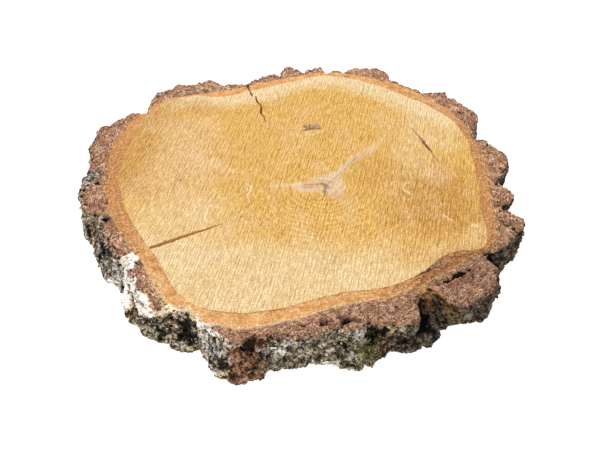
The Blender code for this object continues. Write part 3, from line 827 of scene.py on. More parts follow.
# What grows or shows on the wall: angles, heights in mm and how fully it covers; heights past the rim run on
# over the cut
barkZones = {
    "paper": [
        (208, 213, 26.5, 37, 1.3), (211.5, 218, 4, 24, 0.8), (212, 216, 25, 34.5, 1.2),
        (203, 208, 1, 8, 0.6), (217, 224, 26, 35, 1.15), (223, 229, 25.5, 35.5, 1.2),
        (225, 227.5, 19, 28, 0.6), (228, 235, 27.5, 35, 1.15), (233, 243, 27, 39, 1.3),
        (240.5, 254, 27.5, 34, 1.15), (264, 268, 17, 25, 0.6), (276, 284, 0, 4, 0.6),
        (246, 253, 1, 4, 0.5), (36, 42, 22, 33, 0.7), (69, 77, 25, 33, 0.8), (110, 118, 15, 26, 0.6),
        (150, 157, 23, 33, 0.8), (84, 88, 3, 12, 0.6), (20, 27, 26, 33, 0.6), (95, 104, 27, 33, 0.7),
        (126, 131, 2, 9, 0.55), (163, 171, 25, 33, 0.65)],
    "straw": [
        (231.5, 241, 27, 37, 1.05), (244.8, 247, 4, 10, 0.7), (294.5, 300, 24, 32.5, 0.8),
        (315, 320, 1, 8, 0.6), (130, 134, 22, 31, 0.6), (56, 59, 4, 11, 0.6), (270, 272, 27, 33, 0.6),
        (250, 253, 3, 9, 0.5)],
    "grey": [
        (205.5, 211.5, 9, 27, 1.35), (229.5, 233, 15, 24, 0.5), (243, 250, 12, 27, 0.6),
        (286, 289.5, 24, 32, 0.8), (267, 273, 23, 35, 0.65), (261.5, 264, 8, 24, 0.6),
        (92, 104, 6, 26, 0.6), (44, 56, 12, 30, 0.6), (212, 218, 14, 24, 0.5), (136, 141, 8, 28, 0.6)],
    "bare": [
        (253, 262, -2, 31, 0.9), (261.5, 266.5, 20, 31, 0.8), (218, 221.5, 3, 20, 0.7),
        (287.3, 290, 11, 27, 0.75), (294, 304, 3, 22, 0.75), (322, 332, 12, 31, 0.75),
        (340, 366, 6, 30, 0.55), (61, 67, 4, 32, 0.7), (142, 149, 2, 30, 0.65), (184, 198, 6, 29, 0.5),
        (24, 31, 4, 20, 0.6), (104, 109, 12, 30, 0.6)],
    "lichen": [
        (263, 290, 2, 31, 0.85), (178, 188, 2, 30, 0.7), (186, 199, 20, 36, 0.9), (299, 304, 22, 33, 0.7),
        (12, 34, 3, 25, 0.6), (120, 138, 3, 30, 0.65), (78, 92, 10, 30, 0.65), (305, 318, 8, 28, 0.45),
        (230, 246, 2, 12, 0.45)],
    "char": [
        (170.5, 176.5, 14, 40, 1.25), (190, 204, 8, 33.5, 0.85), (228, 234, 8, 24, 0.6),
        (297, 303, 4, 22, 0.6), (64, 70, 8, 30, 0.6)],
    "moss": [
        (287, 294.5, -1, 19, 0.85), (284, 288, 2, 10, 0.6), (56, 62, 0, 10, 0.6), (104, 110, 0, 13, 0.6),
        (158, 164, 0, 10, 0.55), (312, 317, 6, 14, 0.4)],
    "crust": [
        (308.5, 314, 20, 38, 0.8), (305, 309, 29, 36, 0.7), (41, 45, 3, 11, 0.6), (313, 318, 12, 24, 0.5)],
}

recesses = [
    # angle, height, half width, half height and depth in mm
    (258.8, 30.2, 6.2, 6.0, 6.0), (259.6, 11.0, 2.2, 3.0, 2.5), (255.0, 17.0, 1.6, 4.0, 1.5),
    (265.8, 31.0, 2.6, 1.8, 2.0), (268.6, 20.5, 1.8, 1.6, 1.8), (272.4, 29.0, 3.4, 2.6, 3.4),
    (275.5, 22.0, 3.0, 2.5, 1.8), (284.0, 18.0, 4.0, 5.0, 1.6), (284.5, 4.0, 3.0, 2.4, 2.4),
    (238.6, 17.0, 6.0, 8.5, 3.6), (241.0, 11.0, 4.0, 6.0, 2.8), (250.8, 12.0, 3.6, 6.0, 2.6),
    (246.6, 16.0, 2.0, 3.0, 1.8), (231.5, 11.0, 3.2, 6.0, 2.4), (226.0, 12.0, 2.4, 6.0, 2.4),
    (220.8, 20.0, 2.2, 5.0, 2.2), (234.5, 20.0, 2.0, 4.0, 1.8), (199.0, 24.0, 5.0, 6.5, 3.4),
    (201.0, 12.0, 2.4, 3.0, 2.0), (292.4, 22.5, 6.5, 9.5, 7.0), (300.8, 13.0, 4.5, 4.0, 2.8),
    (296.0, 12.0, 2.4, 3.0, 2.0), (307.3, 20.0, 7.5, 12.0, 4.6), (303.0, 8.0, 5.0, 3.0, 2.4),
    (318.0, 15.0, 8.0, 4.0, 2.4), (328.0, 23.0, 4.0, 4.0, 2.2), (334.0, 18.0, 8.0, 15.0, 3.6),
    (324.5, 14.0, 5.0, 5.0, 2.2), (346.0, 20.0, 5.0, 5.0, 3.0), (8.0, 16.0, 5.0, 6.0, 2.8),
    (22.0, 12.0, 6.0, 5.0, 2.6), (40.0, 10.0, 5.0, 5.0, 2.4), (73.0, 14.0, 6.0, 5.0, 2.6),
    (90.0, 18.0, 4.0, 6.0, 2.6), (107.0, 18.0, 5.0, 4.0, 2.2), (128.0, 14.0, 6.0, 6.0, 2.8),
    (148.0, 18.0, 5.0, 6.0, 2.6), (169.0, 14.0, 5.0, 8.0, 2.6), (186.0, 14.0, 4.0, 7.0, 2.6)]

pockets = [
    # angle, reach, half length, half width, depth, heading
    (323.4, 128.2, 6.2, 2.8, 6.5, 37), (319.0, 126.0, 4.8, 1.6, 5.0, 34),
    (316.6, 123.6, 2.2, 1.1, 3.2, 30), (284.6, 121.0, 4.6, 2.6, 3.0, 18.0),
    (278.2, 119.8, 3.8, 2.0, 2.6, 8.0), (174.4, 136.6, 2.4, 2.8, 6.0, 75.0),
    (190.8, 128.2, 2.6, 3.4, 5.0, 100.0), (300.8, 121.2, 2.0, 1.2, 2.4, 30.0),
    (212.6, 120.6, 3.6, 1.2, 2.0, 122.0), (347.0, 147.0, 2.2, 1.7, 4.0, 75.0),
    (287.8, 109.9, 1.8, 0.8, 1.4, 10.0), (294.2, 113.8, 2.0, 0.9, 1.4, 5.0),
    (272.3, 120.4, 1.8, 1.1, 1.8, 0.0), (183.7, 127.8, 1.5, 1.9, 2.2, 60.0),
    (355.8, 139.7, 5.0, 1.3, 3.0, -15.0), (347.7, 142.0, 3.8, 0.9, 2.2, -30.0),
    (326.8, 131.2, 2.4, 1.5, 3.2, 30), (43.0, 151.0, 5.0, 0.9, 2.2, 140.0),
    (38.0, 153.0, 3.0, 0.8, 2.0, 120.0), (316.5, 108.8, 3.5, 0.8, 1.6, 35.0),
    (257.0, 130.5, 2.0, 0.8, 1.2, 20.0), (225.0, 122.5, 1.2, 2.0, 1.4, 30.0),
    (106.0, 130.9, 6.4, 0.9, 7.0, -74)]


barkLayers = ("warmth", "cut", "hollow", "tone", "dim", "fromInner", "around")


def zoneAt(name, angle, height):
    most = 0.0
    for first, last, low, high, full in barkZones[name]:
        if not (low - 3.0 < height < high + 3.0):
            continue
        width = (last - first) * 0.5
        off = (angle - (first + width) + 180.0) % 360.0 - 180.0
        across = math.radians(width - abs(off)) * barkReach
        inside = min(across, height - low, high - height)
        most = max(most, full * smoothStep(inside / 4.0 + 0.5))
    return most


def strayed(spot, angle, height):
    # an angle and a height pushed about, so that no patch on the bark has a ruled edge
    broad = noise.noise_vector(spot / 13.0)
    near = noise.noise_vector(spot / 5.0 + Vector((5.0, 5.0, 5.0)))
    fine = noiseAt(spot, 1.8)
    angle += 2.2 * broad.x + 1.7 * near.x + 0.8 * fine
    return angle, height + 4.0 * broad.z + 3.0 * near.z + 1.5 * fine


def recessAt(angle, height):
    depth = 0.0
    for facing, level, halfWide, halfHigh, full in recesses:
        across = math.radians((angle - facing + 180.0) % 360.0 - 180.0) * barkReach / halfWide
        if abs(across) < 1.3:
            inside = 1.25 - math.hypot(across, (height - level) / halfHigh)
            depth = max(depth, full * smoothStep(inside))
    return depth


def pocketDepth(spot):
    depth = 0.0
    for angle, reach, halfLength, halfWidth, full, heading in pockets:
        off = spot - spotAt(angle, reach, spot.z)
        if abs(off.x) + abs(off.y) > halfLength + halfWidth + 6.0:
            continue
        turn = math.radians(-heading)
        along = off.x * math.cos(turn) - off.y * math.sin(turn)
        across = off.x * math.sin(turn) + off.y * math.cos(turn)
        across += 0.9 * noiseAt(spot, 3.5)
        ragged = 0.5 * noiseAt(spot, 1.9) + 0.3 * noiseAt(spot, 0.8)
        inside = 1.0 - math.hypot(along / halfLength, across / halfWidth) + ragged
        if inside > 0:
            depth = max(depth, full * min(1.0, inside * 1.6))
    return depth


def profileSpot(angle, row, startHigh, startLow):
    # one place on the closed outline of the bark, seen in section, with its kind of surface
    top, rim, side = outerBark["topRows"], outerBark["rimRows"], outerBark["wallRows"]
    foot, low, inner = outerBark["footRows"], outerBark["lowRows"], outerBark["innerRows"]
    high = thickness - outerBark["topDrop"]
    rimRound, footRound, lowRise = outerBark["rimRound"], outerBark["footRound"], outerBark["lowRise"]
    if row <= top:
        reach = blend(startHigh, wallAt(angle, wall["highest"]) - rimRound, row / top)
        edge = smoothStep((reach - startHigh) / 0.9)
        return spotAt(angle, reach, high - 0.5 * (1.0 - edge)), 1.0
    row -= top
    if row < rim:
        turn = math.radians(90.0 * row / rim)
        reach = wallAt(angle, wall["highest"]) - rimRound * (1.0 - math.sin(turn))
        return spotAt(angle, reach, high - rimRound * (1.0 - math.cos(turn))), 1.0 - row / rim
    row -= rim
    if row <= side:
        height = blend(high - rimRound, footRound, row / side)
        return spotAt(angle, wallAt(angle, height), height), 0.0
    row -= side
    if row < foot:
        turn = math.radians(90.0 * row / foot)
        reach = wallAt(angle, footRound) - footRound * (1.0 - math.cos(turn))
        return spotAt(angle, reach, footRound * (1.0 - math.sin(turn))), 0.0
    row -= foot
    if row <= low:
        reach = blend(wallAt(angle, footRound) - footRound, startLow, row / low)
        return spotAt(angle, reach, lowRise), 1.0
    share = (row - low) / inner
    return spotAt(angle, blend(startLow, startHigh, share), blend(lowRise, high - 0.5, share)), 1.0


def wallRelief(spot, amounts):
    # mm out from the wall: broken lumps, winding creases between them, holes and grit
    bent = spot + 2.6 * noise.noise_vector(spot / 5.5)
    lump = noise.fractal(bent / 7.5, 0.9, 2.1, 4)
    crease = 1.0 - smoothStep(abs(noise.noise(Vector((bent.x / 5.0, bent.y / 5.0, bent.z / 7.5)))) / 0.1)
    split = creaseAt(bent, 3.0, (3.0, 17.0, 8.0), 0.09)
    grit = noise.fractal(spot / 1.6, 0.7, 2.2, 3)
    hole = holeAt(bent, 3.4, (7.0, 3.0, 1.0), 0.28, 0.22)
    smooth = max(amounts["paper"], 0.45 * amounts["lichen"], 0.3 * amounts["moss"])
    relief = 0.1 + 1.5 * lump - (1.1 * crease + 0.7 * split) * (1.0 - 0.75 * smooth)
    relief += 0.55 * grit * (1.0 - 0.5 * smooth) - 1.9 * hole * (1.0 - 0.8 * smooth)
    bumps = noise.voronoi(spot / 1.8)[0][0]
    relief += 0.9 * amounts["lichen"] * (0.45 - bumps) + 0.5 * amounts["paper"]
    return relief + 0.7 * amounts["moss"] * (0.5 - bumps)


def cutRelief(spot, fromStart, fromRim):
    # mm up from the cut: grain, chips, crevices and the broken rim
    grain = 0.42 * noise.fractal(spot / 1.25, 0.7, 2.2, 3)
    chip = 0.9 * holeAt(spot, 2.4, (1.0, 9.0, 4.0), 0.28, 0.16)
    torn = 0.72 * holeAt(spot, 5.5, (31.0, 5.0, 2.0), 0.2, 0.25)
    bent = spot + 1.6 * noise.noise_vector(spot / 3.0)
    crevice = 1.1 * creaseAt(bent, 6.5, (2.0, 2.0, 12.0), 0.045)
    broken = max(0.0, 0.45 + 2.8 * noiseAt(spot, 3.4) + 1.1 * noiseAt(spot, 1.3))
    broken *= smoothStep(1.0 - fromRim / 6.5) * (1.2 if spot.y < 0 else 0.8)
    inward = smoothStep(fromStart / 5.0)
    return grain + 0.4 * noiseAt(spot, 9.0) - (chip + torn + crevice) * inward - broken


def makeOuterBark(name, first, last, step, material):
    # a closed ring of rows round the section, from the inner edge of the upper cut over the wall and back
    rows = sum(outerBark[key] for key in ("topRows", "rimRows", "wallRows", "footRows", "lowRows",
        "innerRows"))
    columns = round(math.radians(last - first) * outerBark["reach"] / step)
    bm = bmesh.new()
    bmesh.ops.create_grid(bm, x_segments=columns, y_segments=rows, size=1.0)
    layers = {layer: bm.verts.layers.float.new(layer) for layer in barkLayers + tuple(barkZones)}
    angles = [blend(first, last, column / columns) for column in range(columns + 1)]
    starts = [(barkStart(angle, thickness), barkStart(angle, 0.0)) for angle in angles]
    places = {}
    for corner in bm.verts:
        column = round((corner.co.x + 1.0) / 2.0 * columns)
        row = round((corner.co.y + 1.0) / 2.0 * rows) % rows
        spot, cut = profileSpot(angles[column], row, *starts[column])
        places[corner.index] = (angles[column], row, cut, *starts[column])
        corner.co = spot * mm
        corner[layers["cut"]] = cut
    bm.normal_update()
    top, rim = outerBark["topRows"], outerBark["rimRows"]
    lowStart = rows - outerBark["innerRows"]
    moves = []
    for corner in bm.verts:
        angle, row, cut, start, startLow = places[corner.index]
        spot = corner.co / mm
        reach = (spot - middle).xy.length
        fromInner = reach - start
        corner[layers["tone"]] = lineAt(cutTone, angle)
        corner[layers["dim"]] = lineAt(wallToneAndShade, angle)
        corner[layers["warmth"]] = lineAt(besideWarm, angle)
        corner[layers["around"]] = math.radians(angle) * barkReach
        corner[layers["fromInner"]] = fromInner + 4.0 * (1.0 - min(max(lineAt(rindShows, angle), 0.0), 1.0))
        if row == 0 or row > lowStart:
            continue
        rimReach = wallAt(angle, wall["highest"])
        fromRim = max(rimReach - reach, 0.0) if cut > 0.0 else 0.0
        warpAngle, warpHeight = strayed(spot, angle, spot.z + (fromRim if row <= top + rim else 0.0))
        amounts = {zone: 0.0 for zone in barkZones}
        if cut < 0.9 or (row <= top and fromRim < 9.0):
            amounts = {zone: zoneAt(zone, warpAngle, warpHeight) for zone in barkZones}
        for zone, amount in amounts.items():
            corner[layers[zone]] = amount
        outward = corner.normal.copy()
        if cut == 0.0 and outward.xy.dot((spot - middle).xy) < 0:
            outward = -outward
        elif cut > 0.0:
            outward.z = abs(outward.z) if row <= top + rim else -abs(outward.z)
        recess = 0.0
        if row < lowStart - outerBark["lowRows"] and fromRim < 8.0:
            recess = recessAt(warpAngle, spot.z + fromRim)
        onWall = wallRelief(spot, amounts) - recess if cut < 1.0 else 0.0
        onCut = 0.0
        if row <= top + rim + 6:
            onCut = cutRelief(Vector((spot.x, spot.y, 3.0)), fromInner, fromRim)
            onCut -= pocketDepth(spot) + 0.7 * recess
        elif cut > 0.0:
            onCut = 0.2 * noise.fractal(spot / 1.6, 0.8, 2.1, 2)
            onCut -= 0.3 * smoothStep(1.0 - (rimReach - reach) / 3.0)
        if cut >= 1.0:
            fade = smoothStep(fromInner / 1.2) if row <= top else 1.0
            move = Vector((0.0, 0.0, onCut * blend(0.5, 1.0, fade))) * (1.0 if row <= top + rim else -1.0)
            corner[layers["hollow"]] = max(0.0, -onCut)
            grown = max(amounts[zone] for zone in ("paper", "straw", "crust", "lichen", "grey", "char"))
            corner[layers["cut"]] = 1.0 - 1.4 * max(0.0, grown - 0.3)
        else:
            below = max(0.0, 1.0 - (row - top - rim) / 7.0) if row >= top + rim else 1.0
            move = outward * onWall * (1.0 - cut) + Vector((0.0, 0.0, min(0.0, onCut) * below))
            corner[layers["hollow"]] = max(0.0, 0.2 - onWall)
        least = blend(startLow, start, spot.z / thickness) + 1.0 if cut < 1.0 else 0.0
        moves.append((corner, move, least))
    for corner, move, least in moves:
        spot = corner.co / mm + move
        flat = (spot - middle).xy
        if flat.length < least + 2.0 and least > 0.0:  # the inner bark stays covered
            angle = math.degrees(math.atan2(flat.y, flat.x))
            least = blend(barkStart(angle, 0.0), barkStart(angle, thickness), spot.z / thickness) + 1.2
            spot.xy = middle.xy + flat.normalized() * max(flat.length, least)
        spot.z = min(max(spot.z, 0.0), thickness)
        corner.co = spot * mm
    bmesh.ops.remove_doubles(bm, verts=bm.verts[:], dist=0.0005 * mm)
    border = [edge for edge in bm.edges if edge.is_boundary]
    bmesh.ops.holes_fill(bm, edges=border, sides=0)
    bmesh.ops.recalc_face_normals(bm, faces=bm.faces[:])
    for edge in border:
        edge.smooth = False
    return addPiece(name, bm, material)


barkCoats = {
    # each finish of the wall, from its darkest grain to its palest; the first lies under the others
    "wall": [(0.38, "#120D08"), (0.45, "#35291E"), (0.505, "#6E5D49"), (0.56, "#A89882"), (0.63, "#E2D6C3")],
    "bare": [(0.38, "#1E120B"), (0.455, "#553722"), (0.52, "#895F45"), (0.6, "#C2997B")],
    "lichen": [(0.38, "#1F170E"), (0.45, "#4E4433"), (0.51, "#83765F"), (0.57, "#B9AB95"), (0.64, "#E8DDCA")],
    "grey": [(0.38, "#3F3B38"), (0.46, "#827D78"), (0.53, "#B8B1A8"), (0.62, "#ECE5DA")],
    "paper": [(0.38, "#8F8070"), (0.43, "#DACDBB"), (0.49, "#F5ECDF"), (0.6, "#FEFAF4")],
    "straw": [(0.38, "#7E5C32"), (0.45, "#D3B278"), (0.53, "#EFDDB2"), (0.62, "#F9F0DA")],
    "crust": [(0.38, "#4A2E15"), (0.455, "#8E5E2F"), (0.53, "#CB9858"), (0.61, "#EBCF9C")],
    "char": [(0.4, "#0D0A07"), (0.47, "#2A251D"), (0.53, "#5B5549"), (0.6, "#BFB7A8")],
    "moss": [(0.38, "#231F0E"), (0.455, "#514B26"), (0.52, "#867D49"), (0.6, "#B9AE82")],
}


# noises of the bark: size in mm, detail and roughness
barkFields = {"fine": (0.95, 4.0, 0.72), "grit": (2.4, 5.0, 0.82), "spots": (2.6, 4.0, 0.65),
              "lumps": (6.0, 5.0, 0.65), "blots": (3.6, 2.0, 0.6)}


def outerBarkMaterial():
    material, tree, place = newMaterial("birchOuterBarkWeathered")
    fields = {}
    for name, (size, detail, rough) in barkFields.items():
        fields[name] = noiseNode(tree, place, 1.0 / size, detail, rough)
    amounts = {name: layerNode(tree, name) for name in barkLayers + tuple(barkZones)}
    # the weathered wall under everything, then each growth over it with a ragged edge
    weather = mathNode(tree, "MULTIPLY_ADD", fields["lumps"], 0.55, fields["grit"])
    weather = mathNode(tree, "SUBTRACT", weather, 0.275)
    colour = rampNode(tree, weather, barkCoats["wall"])
    for zone, stops in list(barkCoats.items())[1:]:
        coat = rampNode(tree, weather, stops)
        ragged = mathNode(tree, "MULTIPLY", amounts[zone], 1.3)
        ragged = mathNode(tree, "MULTIPLY_ADD", fields["spots"], 3.2, ragged)
        ragged = rangeNode(tree, ragged, 2.2, 2.36, 0.0, 1.0)
        colour = mixNode(tree, ragged, colour, coat)
    # painted shade: the hollows are darkened, and the wall is made lighter or darker round the slice, partly
    # its own tone and partly painted shade and light by side
    dark = smoothNode(tree, amounts["hollow"], 0.4, 2.6, 1.06, 0.07)
    dark = mathNode(tree, "MULTIPLY", dark, amounts["dim"])
    colour = scaledNode(tree, colour, dark)
    # the sawn face: red-brown grains with pale flecks and mauve shadows, drawn out round the slice
    layered = joinNode(tree, amounts["around"], amounts["fromInner"], 0.0)
    layered = drawnNoise(tree, layered, (0.18, 1.1, 1.0), 3.0, 0.65, 0.6)
    layered = mathNode(tree, "SUBTRACT", layered, 0.5)
    busy = rangeNode(tree, fields["lumps"], 0.4, 0.6, 1.3, 0.7)
    grained = mathNode(tree, "SUBTRACT", fields["fine"], 0.5)
    grained = mathNode(tree, "MULTIPLY_ADD", grained, busy, 0.503)
    grained = mathNode(tree, "MULTIPLY_ADD", layered, 0.42, grained)
    cutColour = rampNode(tree, grained, [(0.4, "#523122"), (0.455, "#8A5C44"), (0.505, "#B58463"),
        (0.56, "#D0A180"), (0.64, "#F0D6BE")])
    # orange where the inner bark runs out into it
    beside = mathNode(tree, "MULTIPLY_ADD", fields["spots"], -12.0, amounts["fromInner"])
    beside = smoothNode(tree, beside, -3.5, 4.0, 0.9, 0.0)
    beside = mathNode(tree, "MULTIPLY", beside, amounts["warmth"])
    orange = rampNode(tree, grained, [(0.4, "#5E371B"), (0.455, "#9A6433"), (0.505, "#C28A52"),
        (0.56, "#DCAE78"), (0.64, "#F4DDB4")])
    mauve = rangeNode(tree, fields["lumps"], 0.48, 0.6, 0.0, 0.45)
    cutColour = mixNode(tree, mauve, cutColour, "#845748")
    light = rangeNode(tree, fields["lumps"], 0.36, 0.45, 0.35, 0.0)
    cutColour = mixNode(tree, light, cutColour, "#DAAC80")
    cutColour = mixNode(tree, beside, cutColour, orange)
    blotch = rangeNode(tree, fields["blots"], 0.4, 0.6, 0.8, 1.18)
    cutColour = scaledNode(tree, cutColour, blotch)
    # thin winding cracks and pale fibres
    for field, width, patch, strength, shadeOf in outerBark["threads"]:
        thread = mathNode(tree, "COMPARE", fields[field], 0.5, width)
        where = rangeNode(tree, fields["lumps"], patch, patch + 0.05, 0.0, strength)
        thread = mathNode(tree, "MULTIPLY", thread, where)
        cutColour = mixNode(tree, thread, cutColour, shadeOf)
    pale = mathNode(tree, "MULTIPLY_ADD", fields["grit"], -5.0, amounts["fromInner"])
    pale = smoothNode(tree, pale, -1.0, 0.0, 0.75, 0.0)
    cutColour = mixNode(tree, pale, cutColour, "#E6C7A0")
    cutColour = addMarks(tree, waveringPlace(tree, place, 2.0, 4.0), cutColour, outerBark["cutMarks"])
    cutColour = scaledNode(tree, cutColour, amounts["tone"])
    # painted shade: the sawn face darkens in its chips, crevices and pockets
    cutHollowShade = smoothNode(tree, amounts["hollow"], 0.5, 2.6, 1.0, 0.06)
    cutColour = scaledNode(tree, cutColour, cutHollowShade)
    onCut = mathNode(tree, "MULTIPLY_ADD", fields["spots"], 1.6, amounts["cut"])
    onCut = smoothNode(tree, onCut, 1.15, 1.45, 0.0, 1.0)
    colour = mixNode(tree, onCut, colour, cutColour)
    finishMaterial(tree, colour, 0.88, 0.15, fields["fine"], 0.6)
    return material


makeSawnWood()
makeInnerBark()
weathered = outerBarkMaterial()
barkPieces = [makeOuterBark(name, *span, weathered) for name, span in outerBark["pieces"].items()]

# Small pieces that stand on the bark: crumbs of lichen, chips of bark, peeling paper, moss and a few fibres
growth = {
    "seed": 7, "crumbs": 2600, "chips": 1500, "flakes": 90, "mossStems": 1700,
    "fibres": [(97.5, 4.5), (98.2, 3.2), (98.9, 5.0), (99.6, 3.8), (100.3, 2.8), (101.2, 3.4), (97.0, 2.6),
               (164.0, 2.4)],
    "finishes": {
        # material, slot, roughness, whether its faces are shaded smooth, and its tones from dark to pale
        "lichen_crumbs": ("lichenCrustDry", "lichen", 0.9, False,
                          [(0.1, "#2E2A1F"), (0.35, "#6F6956"), (0.6, "#AFA793"), (0.9, "#F1EADC")]),
        "bark_chips": ("birchBarkChips", "outer_bark", 0.88, False,
                       [(0.1, "#17100A"), (0.35, "#4E392A"), (0.6, "#9B7055"), (0.95, "#DDB394")]),
        "paper_flakes": ("birchPaperPeeling", "papery_bark", 0.8, True,
                         [(0.1, "#A98D72"), (0.4, "#E3D2BC"), (0.8, "#FBF5EB")]),
        "moss_tufts": ("mossOliveDry", "moss", 0.9, False,
                       [(0.05, "#2C2812"), (0.4, "#68623A"), (0.7, "#958C5A"), (0.95, "#CCC199")]),
        "bark_fibres": ("birchBarkFibre", "outer_bark", 0.9, True,
                        [(0.1, "#3B3126"), (0.5, "#7D7160"), (0.9, "#B9AE9A")])},
}


def smallMaterial(name, stops, roughness):
    # one finish for many small pieces, each with its own share of light and dark
    material, tree, place = newMaterial(name)
    shade = layerNode(tree, "shade")
    speck = noiseNode(tree, place, 1.1, 3.0, 0.7)
    mixed = mathNode(tree, "MULTIPLY_ADD", speck, 1.2, shade)
    mixed = mathNode(tree, "SUBTRACT", mixed, 0.6)
    colour = rampNode(tree, mixed, stops)
    finishMaterial(tree, colour, roughness, 0.15, speck, 0.2)
    return material


def barkSurface():
    source = bmesh.new()
    for piece in barkPieces:
        source.from_mesh(piece.data)
    tree = BVHTree.FromBMesh(source)
    source.free()
    return tree


def landing(tree, angle, height):
    # where a small piece sits, in mm, and which way is out; past the rim it lies on the cut
    if height > thickness - 1.0:
        start = spotAt(angle, wallAt(angle, wall["highest"]) - (height - thickness + 1.0), 60.0)
        hit, out = tree.ray_cast(start * mm, Vector((0.0, 0.0, -1.0)))[:2]
    else:
        start = spotAt(angle, wall["outside"], height)
        hit, out = tree.ray_cast(start * mm, (spotAt(angle, 0.0, height) - start).normalized())[:2]
    if hit is None:
        return None, None
    return hit / mm, out


def startGrowth(turn):
    # the dice of a kind of small piece, its mesh, and the layer for the shade of each piece
    bm = bmesh.new()
    return random.Random(growth["seed"] + turn), bm, bm.verts.layers.float.new("shade")


def finishGrowth(name, bm):
    material, slotName, roughness, smooth, stops = growth["finishes"][name]
    for corner in bm.verts:  # nothing hangs below the table or stands far above the cut
        corner.co.z = min(max(corner.co.z, 0.0), (thickness + 0.6) * mm)
    return addPiece(name, bm, smallMaterial(material, stops, roughness), smooth)


def shadeAll(corners, shade, light):
    for corner in corners:
        corner[shade] = light


def leaning(dice, side, low, high):
    return Vector((dice.uniform(-side, side), dice.uniform(-side, side), dice.uniform(low, high)))


def standing(spot, out, lean, sizes, roll):
    # a matrix in metres: out is the local z, and the sizes are in mm
    turn = (out + lean).normalized().to_track_quat("Z", "Y").to_matrix().to_4x4()
    scale = Matrix.Diagonal((sizes[0] * mm, sizes[1] * mm, sizes[2] * mm, 1.0))
    return Matrix.Translation(spot * mm) @ turn @ Matrix.Rotation(roll, 4, "Z") @ scale


def makeCrumbs(tree):
    dice, bm, shade = startGrowth(0)
    for turn in range(growth["crumbs"]):
        angle, height = dice.uniform(0.0, 360.0), dice.uniform(0.5, 33.5)
        spot, out = landing(tree, angle, height)
        if spot is None:
            continue
        warped = strayed(spot, angle, height)
        pale = max(zoneAt("paper", *warped), zoneAt("straw", *warped))
        grey = max(zoneAt("lichen", *warped), zoneAt("grey", *warped))
        if max(pale, grey) < dice.uniform(0.1, 0.8):
            continue
        size = dice.uniform(0.35, 0.95)
        lean = leaning(dice, 0.4, -0.2, 0.5)
        sizes = (size, size * dice.uniform(0.6, 1.0), size * 0.6)
        matrix = standing(spot - out * size * 0.25, out, lean, sizes, dice.uniform(0, 6))
        made = bmesh.ops.create_icosphere(bm, subdivisions=1, radius=1.0, matrix=matrix)["verts"]
        shadeAll(made, shade, dice.uniform(0.55, 1.0) if pale > grey else dice.uniform(0.1, 0.85))
    return finishGrowth("lichen_crumbs", bm)


def makeChips(tree):
    dice, bm, shade = startGrowth(1)
    for turn in range(growth["chips"]):
        angle = dice.uniform(0.0, 360.0)
        height = dice.uniform(0.5, 31.0) if turn % 3 else dice.uniform(29.5, 35.0)
        spot, out = landing(tree, angle, height)
        if spot is None:
            continue
        size = dice.uniform(0.4, 1.0)
        lean = leaning(dice, 0.8, -0.6, 0.8)
        sizes = (size * dice.uniform(0.9, 2.4), size * dice.uniform(0.7, 1.3), size * dice.uniform(0.5, 1.0))
        matrix = standing(spot - out * size * 0.3, out, lean, sizes, dice.uniform(0, 6))
        made = bmesh.ops.create_cube(bm, size=1.0, matrix=matrix)["verts"]
        light = dice.uniform(0.3, 0.95) if height > 31.0 else dice.uniform(0.0, 0.6)
        for corner in made:
            corner.co += leaning(dice, 1, -1, 1) * size * 0.16 * mm
        shadeAll(made, shade, light)
    return finishGrowth("bark_chips", bm)


def makeFlakes(tree):
    dice, bm, shade = startGrowth(2)
    spans = barkZones["paper"]
    for turn in range(growth["flakes"]):
        first, last, low, high = spans[turn % len(spans)][:4]
        angle, height = dice.uniform(first, last), min(dice.uniform(low, high), 30.5)
        spot, out = landing(tree, angle, height)
        if spot is None:
            continue
        wide, tall, curl = dice.uniform(1.2, 3.0), dice.uniform(0.6, 1.6), dice.uniform(0.2, 0.9)
        sheet = bmesh.new()
        bmesh.ops.create_grid(sheet, x_segments=5, y_segments=3, size=1.0)
        for corner in sheet.verts:
            x, y = corner.co.x, corner.co.y
            ragged = 1.0 + 0.35 * noise.noise(Vector((x * 2.0, y * 2.0, turn * 1.7)))
            lift = curl * (max(0.0, y) ** 2 + 0.3 * x * x) + 0.15
            corner.co = Vector((x * wide * ragged, y * tall * ragged, lift - 0.35 * max(0.0, -y))) * mm
        bmesh.ops.solidify(sheet, geom=sheet.faces[:], thickness=0.16 * mm)
        side = Vector((0.0, 0.0, 1.0)).cross(out).normalized()
        up = out.cross(side).normalized()
        basis = Matrix((side, up, out)).transposed().to_4x4()
        place = Matrix.Translation(spot * mm) @ basis @ Matrix.Rotation(dice.uniform(-0.5, 0.5), 4, "Z")
        bmesh.ops.transform(sheet, matrix=place, verts=sheet.verts[:])
        loose = bpy.data.meshes.new("loose")
        sheet.to_mesh(loose)
        sheet.free()
        known = len(bm.verts)
        bm.from_mesh(loose)
        bpy.data.meshes.remove(loose)
        bm.verts.ensure_lookup_table()
        shadeAll(bm.verts[known:], shade, dice.uniform(0.45, 1.0))
    bmesh.ops.recalc_face_normals(bm, faces=bm.faces[:])
    return finishGrowth("paper_flakes", bm)


def addStem(bm, sides, foot, tip, tall, matrix):
    return bmesh.ops.create_cone(bm, cap_ends=True, segments=sides, radius1=foot, radius2=tip, depth=tall,
                                 matrix=matrix)["verts"]


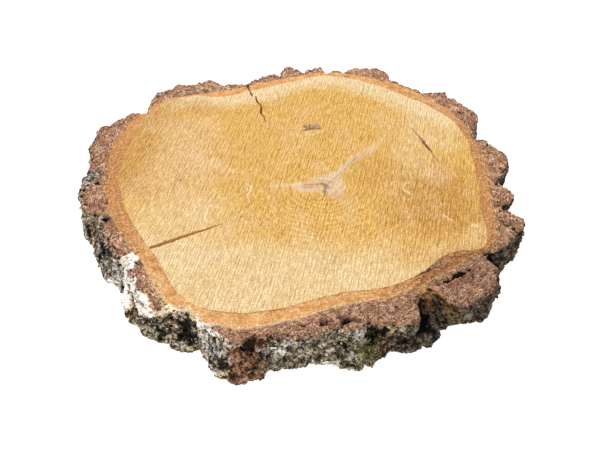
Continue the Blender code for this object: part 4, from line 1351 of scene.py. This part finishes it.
def makeMoss(tree):
    dice, bm, shade = startGrowth(3)
    spans = barkZones["moss"]
    for turn in range(growth["mossStems"]):
        first, last, low, high = spans[0 if turn % 2 else turn // 2 % len(spans)][:4]
        angle, height = dice.uniform(first - 0.5, last + 0.5), dice.uniform(max(low, 0.6), high)
        spot, out = landing(tree, angle, height)
        if spot is None or zoneAt("moss", *strayed(spot, angle, height)) < dice.uniform(0.1, 0.6):
            continue
        tall = dice.uniform(0.9, 2.2)
        lean = leaning(dice, 0.7, 0.0, 1.2)
        matrix = standing(spot + out * tall * 0.3, out, lean, (1.0, 1.0, 1.0), dice.uniform(0, 6))
        shadeAll(addStem(bm, 3, 0.34, 0.08, tall, matrix), shade, dice.uniform(0.0, 1.0))
    return finishGrowth("moss_tufts", bm)


def makeFibres(tree):
    bm, shade = startGrowth(4)[1:]
    for angle, tall in growth["fibres"]:
        spot = landing(tree, angle, 33.0)[0]
        out = Vector((math.sin(angle * 7.0) * 0.5, 1.0, 0.08)).normalized()
        matrix = standing(spot + out * tall * 0.4, out, Vector((0.0, 0.0, 0.0)), (1.0, 1.0, 1.0), 0.0)
        shadeAll(addStem(bm, 5, 0.28, 0.1, tall, matrix), shade, 0.3)
    return finishGrowth("bark_fibres", bm)


surface = barkSurface()
makeCrumbs(surface)
makeChips(surface)
makeFlakes(surface)
makeMoss(surface)
makeFibres(surface)


# Studio: white floor, white surroundings, one broad soft light high on the left
studio = {"floor": "#8C8B89", "floorSize": 6.0, "floorDrop": 0.0002, "world": 1.0,
          "lights": {"key": ((-0.9, 0.5, 1.9), 1.6, 12.0), "front": ((0.4, -1.6, 1.0), 1.4, 4.0)}}


def makeStudio():
    scene = bpy.context.scene
    scene.view_settings.view_transform = "Standard"
    world = bpy.data.worlds.new("world")
    world.use_nodes = True
    sky = world.node_tree.nodes["Background"].inputs
    sky["Color"].default_value = (1.0, 1.0, 1.0, 1.0)
    sky["Strength"].default_value = studio["world"]
    scene.world = world
    for name, (place, size, power) in studio["lights"].items():
        data = bpy.data.lights.new(name, "AREA")
        data.shape = "DISK"
        data.size = size
        data.energy = power
        lamp = bpy.data.objects.new(name, data)
        lamp.location = place
        lamp.rotation_euler = (Vector(place) * -1.0).to_track_quat("-Z", "Y").to_euler()
        scene.collection.objects.link(lamp)
    bm = bmesh.new()
    bmesh.ops.create_grid(bm, x_segments=1, y_segments=1, size=studio["floorSize"])
    bmesh.ops.translate(bm, verts=bm.verts[:], vec=(0.0, 0.0, -studio["floorDrop"]))
    floor = addObject("floor", bm)
    material = bpy.data.materials.new("paintedFloorWhite")
    material.use_nodes = True
    paint = material.node_tree.nodes["Principled BSDF"].inputs
    paint["Base Color"].default_value = toLinear(studio["floor"])
    paint["Roughness"].default_value = 0.9
    paint["Specular IOR Level"].default_value = 0.0
    paint["Emission Color"].default_value = (1.0, 1.0, 1.0, 1.0)
    paint["Emission Strength"].default_value = 1.0
    floor.data.materials.append(material)


makeStudio()
print("studio lit")
